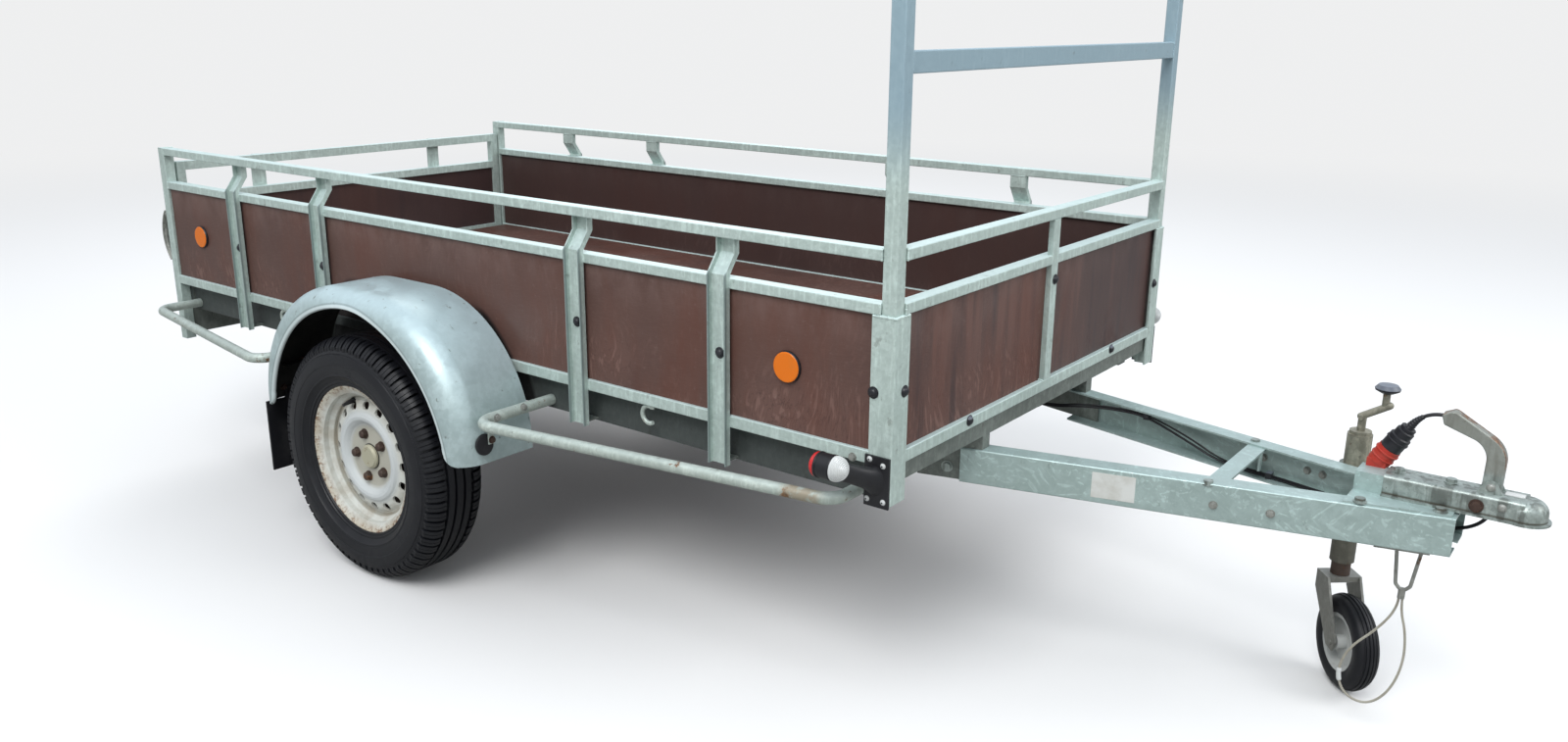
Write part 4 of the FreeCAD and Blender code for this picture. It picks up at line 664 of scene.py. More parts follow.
# %% Plain finishes
# Columns: slot, colour, dust, amount of dust, rough, shine
plain_table = [
    ("tyre", (0.006, 0.0066, 0.009), (0.017, 0.018, 0.021), 0.40, 0.44, 0.32),
    ("black_rubber", (0.0085, 0.0088, 0.011), (0.035, 0.035, 0.036), 0.4, 0.45, 0.4),
    ("black_plastic", (0.010, 0.0105, 0.014), (0.05, 0.052, 0.06), 0.38, 0.36, 0.45),
    ("red_plastic", (0.40, 0.030, 0.018), (0.28, 0.10, 0.075), 0.45, 0.42, 0.4),
    ("orange_lens", (0.66, 0.150, 0.003), (0.50, 0.16, 0.02), 0.32, 0.3, 0.35),
    ("red_lens", (0.48, 0.018, 0.020), (0.24, 0.07, 0.065), 0.4, 0.22, 0.5),
    ("white_lens", (0.54, 0.56, 0.555), (0.42, 0.42, 0.39), 0.4, 0.2, 0.5),
    ("blank_plate", (0.60, 0.615, 0.59), (0.40, 0.39, 0.34), 0.5, 0.45, 0.4),
    ("black_cable", (0.008, 0.008, 0.010), (0.035, 0.035, 0.036), 0.42, 0.42, 0.4),
    ("coated_rope", (0.36, 0.345, 0.29), (0.20, 0.18, 0.14), 0.48, 0.35, 0.45),
]
for number, (slot, base, dusty, amount, rough, shine) in enumerate(plain_table):
    inputs = new_finish(slot, rough, 0.0, shine)
    dust = stains(22.0, amount, 0.14, 1.0, 1.7 * number)
    colour = lay(base, dusty, dust, 0.55)
    if slot == "black_plastic":
        beside = abs(split(object_place())[1])
        knob = spread(beside, 0.1, 0.12, 0.0, 0.8) * spread(beside, 0.5, 0.4)
        # Top faces of the knob get a pale blue: a painted sky highlight.
        colour = lay(colour, (0.17, 0.195, 0.24), use_group(face_masks)["Up"] * knob)
    grain = noise(object_place(), 900.0, 2.0)
    end_finish(inputs, colour, spread(dust, 0.0, 1.0, rough, rough + 0.2), (grain, 0.12, 0.0004))
print("plain finishes", len(plain_table))

# %% [markdown]
# The record of the trailer says which slot each solid takes, so the finishes go on by
# name.

# %% Dress the solids
slot_of = {part["node"]: part["material_slot"] for part in frame["record"]["subparts"]}
for name, solid in nodes.items():
    solid.data.materials.clear()
    solid.data.materials.append(finish[slot_of[name]])
print("dressed", len(slot_of), "solids in", len(set(slot_of.values())), "finishes")

# %% [markdown]
# ## Stage
# A pale floor and a broad soft sky, so that the colours come out as they are. The camera
# sees a plain pale background, and the trailer is lit by the sky and three soft lamps.

# %% Floor
floor_mesh = bpy.data.meshes.new("floor")
floor_mesh.from_pydata([(-60, -60, 0), (60, -60, 0), (60, 60, 0), (-60, 60, 0)], [], [(0, 1, 2, 3)])
floor = link_object("floor", floor_mesh)
floor_paint = bpy.data.materials.new("floor_paint")
floor_paint.use_nodes = True
floor_nodes = work_on(floor_paint.node_tree).nodes
floor_shader = floor_nodes["Principled BSDF"]
floor_shader.inputs["Roughness"].default_value = 0.85
seen = add("ShaderNodeLightPath", out="Is Camera Ray")
floor_colour = lay((0.36, 0.36, 0.35), (0.77, 0.77, 0.765), seen)
connect(floor_colour, floor_shader.inputs["Base Color"])
far = spread(vector_maths("LENGTH", coordinates()), 3.0, 11.0)
glow = add("ShaderNodeEmission", {"Color": (0.86, 0.865, 0.87)})
faded = add("ShaderNodeMixShader", {0: far * seen, 1: Value(floor_shader.outputs[0]), 2: glow})
connect(faded, floor_nodes["Material Output"].inputs["Surface"])
floor_mesh.materials.append(floor_paint)

# %% Sky and lamps
sky = bpy.data.worlds.new("sky")
sky.use_nodes = True
scene.world = sky
background = work_on(sky.node_tree).nodes["Background"]
upward = split(coordinates("Generated"))[2]
sky_colour = lay((0.62, 0.64, 0.66), (0.94, 0.99, 1.06), spread(upward, -0.1, 0.9))
seen = add("ShaderNodeLightPath", out="Is Camera Ray")
connect(lay(sky_colour, (0.915, 0.92, 0.925), seen), background.inputs["Color"])
background.inputs["Strength"].default_value = 0.94


def soft_lamp(name, place, target, size, power):
    """Area lamp that points at a target."""
    data = bpy.data.lights.new(name, "AREA")
    data.shape = "DISK"
    data.size = size
    data.energy = power
    lamp = link_object(name, data)
    lamp.location = place
    lamp.rotation_mode = "QUATERNION"
    lamp.rotation_quaternion = (Vector(target) - Vector(place)).to_track_quat("-Z", "Y")


soft_lamp("key_lamp", (1.5, -4.5, 5.5), (0.0, 0.0, 0.5), 4.0, 315.0)
soft_lamp("side_lamp", (5.5, 1.5, 4.0), (0.5, 0.0, 0.5), 3.5, 136.0)
soft_lamp("back_lamp", (-4.0, 4.0, 5.0), (-0.5, 0.0, 0.6), 4.0, 128.0)
scene.view_settings.view_transform = "Standard"
print("stage set")

# %% [markdown]
# ## Free cables
# Two cables hang free: the lead that runs from the parked plug round the coupling into
# the drawbar, and the thin breakaway rope below it. Each is one smooth NURBS line
# through a few chosen places, because a real cable bends everywhere a little and
# nowhere sharply.


# %% Cable helpers
def declare(piece, body, replaced=None):
    """Tell the frame where a piece rides, and the solid it stands for."""
    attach(piece, body)
    if replaced:
        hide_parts(replaced)
    return piece


def smooth_line(name, places, radius):
    """Open NURBS spline with the places as its control points."""
    curve = bpy.data.curves.new(name, "CURVE")
    curve.dimensions = "3D"
    spline = curve.splines.new("NURBS")
    spline.points.add(len(places) - 1)
    for point, place in zip(spline.points, places):
        point.co = (*at(*place), 1.0)
    spline.order_u = 3
    spline.use_endpoint_u = True
    curve.resolution_u = 10
    curve.bevel_depth = radius
    curve.bevel_resolution = 5
    curve.use_fill_caps = True
    return link_object(name, curve)


def line_places(line):
    """Points along a curve object, as Blender itself evaluates it without a bevel."""
    bare = line.copy()
    bare.data = line.data.copy()
    bare.data.bevel_depth = 0.0
    mesh = bpy.data.meshes.new_from_object(bare)
    found = [vertex.co.copy() for vertex in mesh.vertices]
    bpy.data.meshes.remove(mesh)
    bpy.data.curves.remove(bare.data)
    return found


def path_length(found):
    """Length of a chain of points."""
    return sum((b - a).length for a, b in zip(found[:-1], found[1:]))


# %% Lead of the plug
lead_exit = (3238.0, 74.2, 407.0)
lead_thickness = 0.007
plug_lead = smooth_line("plug_lead", [
    (3262.0, 32.5, 600.2), (3277.0, 32.5, 626.2), (3327.0, 34.5, 634.0), (3378.0, 39.5, 605.0),
    (3408.0, 43.5, 553.0), (3418.0, 46.5, 495.0), (3410.0, 47.5, 443.0), (3372.0, 50.5, 414.0),
    (3320.0, 56.5, 405.0), (3276.0, 74.2, 407.0), lead_exit,
], lead_thickness / 2.0)
plug_lead.data.materials.append(finish["black_cable"])
lead_route = line_places(plug_lead)
lead_length = path_length(lead_route)
declare(plug_lead, "trailer", "plug_cable")
print("plug lead", round(lead_length, 3), "m")

# %% [markdown]
# The rope is steel strands laid in a left-hand twist under a clear coat. Its strands
# are tubes that wind round the route's own smooth line. Every tube here is a row of
# rings, joined by one function that adds the faces between them and at both ends.


# %% Meshes and pieces
def shaped_mesh(name, vertices, faces, slot):
    """Mesh from vertices and faces, in the finish of its slot."""
    mesh = bpy.data.meshes.new(name)
    mesh.from_pydata([tuple(vertex) for vertex in vertices], [], faces)
    mesh.validate()
    mesh.materials.append(finish[slot])
    return mesh


def make_piece(mesh, sharp, body="trailer", replaced=None):
    mesh.polygons.foreach_set("use_smooth", [True] * len(mesh.polygons))
    mesh.set_sharp_from_angle(angle=math.radians(sharp))
    return declare(link_object(mesh.name, mesh), body, replaced)


# %% Rings along a path
def ring_faces(rings, around, start=0):
    """Faces between rings of points, and a cap at each end."""
    faces = []
    for ring in range(rings - 1):
        for corner in range(around):
            a = start + ring * around + corner
            b = start + ring * around + (corner + 1) % around
            faces.append((a, b, b + around, a + around))
    last = start + (rings - 1) * around
    return faces + [tuple(reversed(range(start, start + around))), tuple(range(last, last + around))]


def path_frames(places):
    """Each place of a path with two directions across it that don't twist."""
    frames = []
    side = (places[1] - places[0]).normalized().orthogonal().normalized()
    for index, place in enumerate(places):
        before = places[max(index - 1, 0)]
        after = places[min(index + 1, len(places) - 1)]
        tangent = (after - before).normalized()
        side = (side - tangent * side.dot(tangent)).normalized()
        frames.append((place, side.copy(), tangent.cross(side)))
    return frames


def circle(count, first, second, offset=0.0):
    """Directions round a circle, from one direction towards another."""
    angles = [offset + 2.0 * math.pi * step / count for step in range(count)]
    return [math.cos(angle) * first + math.sin(angle) * second for angle in angles]


def swept_tube(name, places, radii, around, slot, body="trailer", replaced=None):
    """Round tube along a chain of points with a radius at each."""
    vertices = []
    for (place, side, other), radius in zip(path_frames(places), radii):
        vertices += [place + way * radius for way in circle(around, side, other)]
    mesh = shaped_mesh(name, vertices, ring_faces(len(places), around), slot)
    return make_piece(mesh, 50, body, replaced)


# %% Rope strands
def strand_rings(centre, wind_radius, strand_radius, strands, pitch, sides):
    """Twisted strands round a chain of points: vertices and faces."""
    vertices = []
    faces = []
    frames = path_frames(centre)
    travelled = [path_length(centre[max(index - 1, 0):index + 1]) for index in range(len(centre))]
    for strand in range(strands):
        faces += ring_faces(len(frames), sides, len(vertices))
        turn = 2.0 * math.pi * strand / strands
        for (place, side, other), step in zip(frames, travelled):
            turn -= 2.0 * math.pi * step / pitch
            out = math.cos(turn) * side + math.sin(turn) * other
            around = -math.sin(turn) * side + math.cos(turn) * other
            middle = place + out * wind_radius
            vertices += [middle + way * strand_radius for way in circle(sides, out, around)]
    return vertices, faces


def evenly(places, step):
    """The same chain of points with an even spacing."""
    out = [places[0]]
    need = step
    for a, b in zip(places[:-1], places[1:]):
        run = (b - a).length
        walked = 0.0
        while run - walked >= need:
            walked += need
            out.append(a + (b - a) * (walked / run))
            need = step
        need -= run - walked
    return out + [places[-1]]


rope_thickness = 0.005
rope_line = smooth_line("rope_line", [
    (3293.8, -8.0, 273.0), (3293.8, -8.0, 249.0), (3269.0, -30.0, 207.0), (3227.0, -46.0, 161.0),
    (3213.0, -52.0, 107.0), (3231.0, -52.0, 63.0), (3273.0, -48.0, 53.0), (3307.0, -42.0, 89.0),
    (3323.0, -32.0, 151.0), (3317.0, -20.0, 209.0), (3300.2, -8.0, 249.0), (3300.2, -8.0, 273.0),
], rope_thickness / 2.0)
rope_centre = evenly(line_places(rope_line), 0.0018)
bpy.data.objects.remove(rope_line)
strand_sizes = {"wind_radius": 0.00155, "strand_radius": 0.00092, "strands": 6, "pitch": 0.03, "sides": 6}
strands = strand_rings(rope_centre, **strand_sizes)
rope_mesh = shaped_mesh("safety_rope", *strands, "coated_rope")
safety_rope = make_piece(rope_mesh, 180, replaced="safety_cable")
rope_length = path_length(rope_centre)
print("safety rope", round(rope_length, 3), "m,", len(rope_mesh.polygons), "faces")

# %% [markdown]
# ## Repeating pieces
# Tread blocks, bolts and weld beads repeat by a rule, so Geometry Nodes make them. Each
# tree is built here with named sizes. One function runs a tree on a mesh of places and
# turns the result into a plain mesh.


# %% Geometry tree helpers
def geometry_tree(name, sizes):
    """Start a Geometry Nodes tree with named sizes: the tree, its inputs and its end."""
    tree = work_on(bpy.data.node_groups.new(name, "GeometryNodeTree"))
    kinds = {int: "Int", float: "Float", tuple: "Vector"}
    tree.interface.new_socket(name="Geometry", in_out="OUTPUT", socket_type="NodeSocketGeometry")
    tree.interface.new_socket(name="Places", in_out="INPUT", socket_type="NodeSocketGeometry")
    for label, value in sizes.items():
        kind = "NodeSocket" + kinds[type(value)]
        tree.interface.new_socket(name=label, in_out="INPUT", socket_type=kind).default_value = value
    tree.interface.new_socket(name="Finish", in_out="INPUT", socket_type="NodeSocketMaterial")
    print("tree", name)
    return tree, *group_ends(tree)


def end_tree(geometry, given, made):
    """Close a tree: real geometry, one finish, and out."""
    solid = add("GeometryNodeRealizeInstances", {"Geometry": geometry})
    painted = add("GeometryNodeSetMaterial", {"Geometry": solid, "Material": given["Finish"]})
    connect(painted, made["Geometry"])


def moved(geometry, **how):
    """Geometry that is moved, turned or scaled."""
    return add("GeometryNodeTransform", {"Geometry": geometry, **how})


def joined(pieces):
    """Several geometries as one."""
    node = add("GeometryNodeJoinGeometry").socket.node
    for piece in pieces:
        connect(piece, node.inputs[0])
    return Value(node.outputs[0])


def place_mesh(name, places, facings):
    """Loose points, each with the way it faces."""
    mesh = bpy.data.meshes.new(name)
    mesh.from_pydata([tuple(place) for place in places], [], [])
    facing = mesh.attributes.new("facing", "FLOAT_VECTOR", "POINT")
    facing.data.foreach_set("vector", [value for way in facings for value in way])
    return mesh


def run_tree(name, mesh, tree, slot, body, replaced=None, sharp=35.0, **values):
    """Run a tree on a mesh of places and keep the result as a plain mesh piece."""
    carrier = link_object(name + "_places", mesh)
    modifier = carrier.modifiers.new("make", "NODES")
    modifier.node_group = tree
    values["Finish"] = finish[slot]
    for item in tree.interface.items_tree:
        if item.in_out == "INPUT" and item.name in values:
            modifier[item.identifier] = values[item.name]
    graph = bpy.context.evaluated_depsgraph_get()
    made_mesh = bpy.data.meshes.new_from_object(carrier.evaluated_get(graph))
    bpy.data.objects.remove(carrier)
    bpy.data.meshes.remove(mesh)
    made_mesh.name = name
    if "facing" in made_mesh.attributes:
        made_mesh.attributes.remove(made_mesh.attributes["facing"])
    return make_piece(made_mesh, sharp, body, replaced)


# %% [markdown]
# ### Bolts, screws and rivets
# Every fastener is a washer, a head and a dome, whose sizes differ: a hexagon bolt has
# six sides and almost no dome, a plastic cap is mostly dome, a rivet is a low dome. One
# tree takes these sizes and sets a fastener on each place, turned the way it faces.

# %% Fastener tree
fastener_columns = (
    "Sides", "Head radius", "Top radius", "Head height", "Washer radius", "Washer height", "Dome height",
)
common_bolt = dict(zip(fastener_columns, (6, 0.008, 0.0075, 0.006, 0.011, 0.0015, 0.0005)))
fastener_tree, given, made = geometry_tree("fastener", common_bolt)
thick = given["Washer height"]
washer = add("GeometryNodeMeshCylinder", {"Vertices": 20, "Radius": given["Washer radius"], "Depth": thick})
washer = moved(washer, Translation=combine(Z=thick * 0.5))
head = add("GeometryNodeMeshCone", {
    "Vertices": given["Sides"],
    "Radius Top": given["Top radius"],
    "Radius Bottom": given["Head radius"],
    "Depth": given["Head height"],
})
head = moved(head, Translation=combine(Z=thick))
dome = add("GeometryNodeMeshUVSphere", {"Segments": 14, "Rings": 8, "Radius": 1.0})
dome_radius = given["Top radius"] * 0.97
dome_scale = combine(X=dome_radius, Y=dome_radius, Z=given["Dome height"])
dome = moved(dome, Translation=combine(Z=given["Head height"] + thick), Scale=dome_scale)
facing = add("GeometryNodeInputNamedAttribute", {"Name": "facing"}, "Attribute", data_type="FLOAT_VECTOR")
set_out = add("GeometryNodeInstanceOnPoints", {
    "Points": add("GeometryNodeMeshToPoints", {"Mesh": given["Places"]}),
    "Instance": joined((washer, head, dome)),
    "Rotation": add("FunctionNodeAlignRotationToVector", {"Vector": facing}, axis="Z"),
})
end_tree(set_out, given, made)

# %% [markdown]
# A fastener that is placed by eye floats or sinks. So each one is dropped along a line
# onto the solid that carries it, and takes its place and its direction from the hit.

# %% Seats on the solids
searched = {}
run_up = 0.09
reach_down = 0.3
sink = 0.0002


def seat(node, forward, left, up, way):
    """Drop a line onto a solid: the place it meets, and the way back."""
    if node not in searched:
        mesh = nodes[node].data
        corners = [vertex.co for vertex in mesh.vertices]
        searched[node] = BVHTree.FromPolygons(corners, [tuple(face.vertices) for face in mesh.polygons])
    direction = Vector(way).normalized()
    start = at(forward, left, up) - direction * run_up
    place, normal, index, distance = searched[node].ray_cast(start, direction, reach_down)
    if place is None:
        print("no seat on", node, forward, left, up)
        return None
    if normal.dot(direction) > 0.0:
        normal = -normal
    return place - normal * sink, normal


def side_seats(node, places, inward=True):
    """Seats on both sides of the trailer, met from outside or from above."""
    return [
        seat(node, x, y * side, z, (0, -side, 0) if inward else (0, 0, -1))
        for x, y, z in places for side, name in both_sides
    ]


fastener_sizes = {
    "cap": (20, 0.0095, 0.0085, 0.0022, 0.0115, 0.001, 0.0045),
    "hexagon": (6, 0.0098, 0.0094, 0.0066, 0.0125, 0.0018, 0.0004),
    "small_hexagon": (6, 0.0066, 0.0063, 0.0045, 0.0085, 0.0014, 0.0004),
    "screw": (16, 0.0052, 0.0045, 0.0012, 0.0056, 0.0006, 0.0022),
    "rivet": (16, 0.0075, 0.0066, 0.0012, 0.0078, 0.0006, 0.0022),
    "lug": (6, 0.0108, 0.0098, 0.0085, 0.0128, 0.0025, 0.0035),
    "socket": (6, 0.0019, 0.0018, 0.0036, 0.0019, 0.0006, 0.0002),
}


def add_fasteners(name, size, slot, seats, body="trailer"):
    """Fasteners of one size on one body, from a list of seats."""
    kept = [found for found in seats if found]
    mesh = place_mesh(name, [place for place, way in kept], [way for place, way in kept])
    sizes = dict(zip(fastener_columns, fastener_sizes[size]))
    piece = run_tree(name, mesh, fastener_tree, slot, body, **sizes)
    print(name, len(kept), "pieces,", len(piece.data.polygons), "faces")


# %% Bolts of the body
stake_places = (398.0, 797.1, 1739.9, 2140.0)
rearward = (-1, 0, 0)
downward = (0, 0, -1)
leftward = (0, 1, 0)
body_seats = side_seats("side_stakes", [(x, 790, 690) for x in stake_places])
body_seats += side_seats("corner_angles", [(2497, 760, 677)])
body_seats += [seat("corner_angles", 2560, 598 * side, 679, rearward) for side, name in both_sides]
body_seats += [seat("front_frame", 2560, y, z, rearward) for y, z in ((5, 786), (-347, 558), (352, 558))]
add_fasteners("body_caps", "cap", "black_plastic", body_seats)

# %% Bolts of the drawbar
drawbar_seats = side_seats("coupling_saddle", [(3217, 92, 500), (3344, 51, 500)], inward=False)
drawbar_seats += [seat("cross_strap", x, y, 500, downward) for x, y in ((2957, 143), (2960, -158))]
drawbar_seats += [seat("coupling_head", x, 0, 540, downward) for x in (3259, 3347)]
drawbar_seats += side_seats("drawbar_mount", [(2462, 300, 426)])
add_fasteners("drawbar_bolts", "hexagon", "coupling_zinc", drawbar_seats)
web_places = ((3069, 90, 435), (3101, 90, 435), (2974.5, 110, 435), (2975, -200, 430), (3075, -200, 430))
web_seats = [seat("drawbar_beams", x, y, z, leftward) for x, y, z in web_places]
add_fasteners("web_bolts", "small_hexagon", "zinc", web_seats)
rivet_seats = side_seats("coupling_head", [(3436, 60, 500), (3412, 60, 528)])
add_fasteners("coupling_rivets", "rivet", "zinc", rivet_seats)
add_fasteners("coupling_slot_bolts", "hexagon", "dark_steel", side_seats("coupling_head", [(3396, 60, 495)]))

# %% Bolts of the tubes and mudflaps
tube_seats = [
    seat("side_guards", 1660, y * side, z, rearward)
    for y, z in ((771, 482), (694, 486)) for side, name in both_sides
]
tube_seats += side_seats("side_rails", [(2456, 660, 545)])
add_fasteners("tube_bolts", "small_hexagon", "zinc", tube_seats)
flap_seats = [
    seat("mudguard_" + name, x, y * side, z, rearward)
    for x, y, z in ((876, 738, 463), (867, 788, 400)) for side, name in both_sides
]
add_fasteners("flap_bolts", "small_hexagon", "dark_steel", flap_seats)

# %% Screws of the marker plates
screw_places = [(2497, 790, 552), (2526, 790, 544), (2493, 790, 474), (2528, 790, 474)]
screw_seats = side_seats("marker_arms", screw_places)
add_fasteners("marker_screws", "screw", "white_lens", screw_seats)
add_fasteners("marker_sockets", "socket", "black_plastic", screw_seats)

# %% Wheel bolts
axle_forward = 1173.988
axle_up = 298.0
bolt_circle = 56.0
first_bolt = 0.656
for side, name in both_sides:
    lug_seats = []
    for number in range(5):
        angle = 2.0 * math.pi * number / 5 + first_bolt
        x = axle_forward + bolt_circle * math.cos(angle)
        z = axle_up + bolt_circle * math.sin(angle)
        lug_seats.append(seat("rim_" + name, x, 830 * side, z, (0, -side, 0)))
    add_fasteners("wheel_bolts_" + name, "lug", "dark_steel", lug_seats, "wheel_" + name)

# %% [markdown]
# ### Tyres
# A tyre is a carcass with ribs and grooves that run all the way round, and two rows of
# shoulder blocks that repeat. The carcass is a section turned about the axle. The
# blocks come from a tree: it copies a pair of blocks round a circle, then presses each
# block down along the curve of the shoulder.

# %% Tread tree
tread_tree, given, made = geometry_tree("tread_row", {
    "Count": 72,
    "Radius": 0.2935,
    "Offset": 0.056,
    "Block length": 0.011,
    "Block width": 0.036,
    "Block depth": 0.009,
    "Sipe": 0.0017,
    "Skew": 0.2,
    "Centre": origin,
})
block_size = combine(X=given["Block length"], Y=given["Block width"], Z=given["Block depth"])
block = add("GeometryNodeMeshCube", {"Size": block_size, "Vertices X": 2, "Vertices Y": 7, "Vertices Z": 2})
half_gap = (given["Block length"] + given["Sipe"]) * 0.5
pair = joined([moved(block, Translation=combine(X=half_gap * sign)) for sign in (-1.0, 1.0)])
ring = add("GeometryNodeMeshCircle", {"Vertices": given["Count"], "Radius": given["Radius"]})
x, y, z = split(add("GeometryNodeInputPosition"))
blocks = add("GeometryNodeInstanceOnPoints", {
    "Points": moved(ring, Rotation=(math.pi / 2, 0.0, 0.0)),
    "Instance": moved(pair, Rotation=combine(Z=given["Skew"])),
    "Rotation": add("FunctionNodeEulerToRotation", {"Euler": combine(Y=maths("ARCTAN2", x, z))}),
})
real = add("GeometryNodeRealizeInstances", {"Geometry": blocks})
aside = moved(real, Translation=combine(Y=given["Offset"]))
flat_tread = 0.045
shoulder = 0.030
shoulder_drop = -0.020
past = maths("MAXIMUM", maths("DIVIDE", abs(y) - flat_tread, shoulder), 0.0)
radial = vector_maths("NORMALIZE", combine(X=x, Z=z))
press = vector_maths("SCALE", radial, scale=maths("POWER", past, 2.0) * shoulder_drop)
bent = add("GeometryNodeSetPosition", {"Geometry": aside, "Offset": press})
end_tree(moved(bent, Translation=given["Centre"]), given, made)


# %% Turned pieces
merge_distance = 0.00001


def fix_normals(mesh):
    """Merge doubles and turn every face outwards."""
    work = bmesh.new()
    work.from_mesh(mesh)
    bmesh.ops.remove_doubles(work, verts=work.verts, dist=merge_distance)
    bmesh.ops.recalc_face_normals(work, faces=work.faces)
    work.to_mesh(mesh)
    work.free()


def turn_section(name, section, centre, axis, around, slot, body="trailer", replaced=None):
    """Closed section of (radius, along) in millimetres, turned about an axis."""
    axis = Vector(axis).normalized()
    first = axis.orthogonal().normalized()
    vertices = []
    for out in circle(around, first, axis.cross(first)):
        vertices += [centre + out * (radius / 1000.0) + axis * (along / 1000.0) for radius, along in section]
    count = len(section)
    faces = []
    for step in range(around):
        here = step * count
        after = ((step + 1) % around) * count
        for index in range(count):
            following = (index + 1) % count
            faces.append((here + index, after + index, after + following, here + following))
    mesh = shaped_mesh(name, vertices, faces, slot)
    fix_normals(mesh)
    return make_piece(mesh, 30, body, replaced)


# %% Tyre section and blocks
rim_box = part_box("rim_right")
flange = (rim_box[1].z - rim_box[0].z) / 2.0 * 1000.0
print("rim flange radius", round(flange, 1))
tyre_half = [
    (298.0, 0.0), (298.0, 8.5), (290.5, 9.2), (290.5, 14.8), (297.8, 15.5), (297.5, 31.0),
    (290.3, 31.8), (290.0, 40.0), (288.4, 50.0), (284.0, 60.0), (276.5, 69.0), (270.0, 73.8),
    (266.5, 76.6), (262.5, 78.4), (261.2, 77.9), (260.2, 79.5), (257.0, 80.3), (248.0, 81.8),
    (238.5, 82.5), (237.0, 82.5), (236.0, 81.7), (226.0, 81.3), (217.0, 80.1), (212.0, 78.6),
    (211.0, 79.3), (208.0, 79.0), (207.0, 77.4), (200.0, 73.0), (195.0, 69.4), (190.5, 69.2),
    (188.6, 66.5), (flange + 0.6, 66.0), (flange - 4.0, 58.0), (flange - 4.0, 44.0), (222.0, 64.0),
    (246.0, 72.0), (268.0, 66.0), (281.0, 50.0), (283.0, 0.0),
]
tyre_section = tyre_half + [(radius, -along) for radius, along in reversed(tyre_half[1:-1])]
tread_sizes = dict(zip(
    ("Count", "Radius", "Block length", "Block width", "Block depth", "Sipe", "Skew"),
    (72, 0.2929, 0.0089, 0.0375, 0.0098, 0.0014, 0.1),
))
row_offset = 0.0570
for side, name in both_sides:
    wheel = "wheel_" + name
    tyre = "tyre_" + name
    low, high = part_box(tyre)
    centre = (low + high) / 2.0
    carcass = turn_section("tyre_carcass_" + name, tyre_section, centre, leftward, 144, "tyre", wheel, tyre)
    tread_sizes["Centre"] = tuple(centre)
    for number, offset in enumerate((row_offset, -row_offset)):
        place = place_mesh("row", [(0, 0, 0)], [(0, 0, 1)])
        row_name = "tread_" + name + "_" + str(number)
        blocks = run_tree(row_name, place, tread_tree, "tyre", wheel, tyre, Offset=offset, **tread_sizes)
    print("tyre", name, len(carcass.data.polygons), len(blocks.data.polygons))

# %% [markdown]
# ### Weld beads
# Where two tubes meet, the weld leaves a row of small overlapping drops. A tree walks
# along each seam and sets a drop every few millimetres, each of a slightly different
# size.

# %% Weld tree
weld_sizes = {"Spacing": 0.0024, "Drop radius": 0.0028, "Unevenness": 0.2, "Seed": 7}
weld_tree, given, made = geometry_tree("weld", weld_sizes)
seam_lines = add("GeometryNodeMeshToCurve", {"Mesh": given["Places"]})
steps = add("GeometryNodeResampleCurve", {"Curve": seam_lines, "Length": given["Spacing"]}, mode="LENGTH")
drop = add("GeometryNodeMeshIcoSphere", {"Radius": given["Drop radius"], "Subdivisions": 2})
usual = 0.85
least = usual - given["Unevenness"]
most = usual + given["Unevenness"]
size = add("FunctionNodeRandomValue", {
    "Min": combine(X=least, Y=least, Z=least),
    "Max": combine(X=most, Y=most, Z=most),
    "Seed": given["Seed"],
}, data_type="FLOAT_VECTOR")
end_tree(add("GeometryNodeInstanceOnPoints", {"Points": steps, "Instance": drop, "Scale": size}), given, made)


def add_welds(name, seams, body, **values):
    """Weld beads along seams, each given by its two ends in millimetres."""
    mesh = bpy.data.meshes.new(name)
    ends = [tuple(at(*end)) for seam in seams for end in seam]
    mesh.from_pydata(ends, [(2 * n, 2 * n + 1) for n in range(len(seams))], [])
    piece = run_tree(name, mesh, weld_tree, "galvanised_rails", body, sharp=60.0, **values)
    print(name, len(seams), "seams,", len(piece.data.polygons), "faces")


# %% Seams of the body
top_seams = (
    ((2505.5, 631.0), (2505.5, 607.0)),
    ((2537.0, 600.5), (2512.0, 600.5)),
    ((30.5, 632.0), (30.5, 607.0)),
)
seams = []
for side, name in both_sides:
    for low, high in ((822.0, 839.0), (919.0, 936.0)):
        for x, y in ((2505.5, 633.5), (30.5, 633.5), (2538.5, 600.5)):
            seams.append([(x, side * y, low), (x, side * y, high)])
    for (x, y), (to_x, to_y) in top_seams:
        seams.append([(x, side * y, 938.0), (to_x, side * to_y, 938.0)])
    for height in (1235.0, 1271.0):
        seams.append([(2532.0, side * 601.0, height), (2514.0, side * 601.0, height)])
    seams.append([(2534.0, side * 601.0, 1238.0), (2534.0, side * 601.0, 1268.0)])
    for centre in stake_places:
        for edge in (-22.0, 22.0):
            seams.append([(centre + edge, side * 635.2, 823.0), (centre + edge, side * 635.2, 838.0)])
        seams.append([(centre - 20.0, side * 607.0, 916.5), (centre + 20.0, side * 607.0, 916.5)])
    # Two runs over each other at the foot of the front upright
    upright_edge = side * 15.0 - 7.0
    seams += [[(2538.0, upright_edge, 565.0), (2531.0, upright_edge, 565.0)]] * 2
add_welds("frame_welds", seams, "trailer")

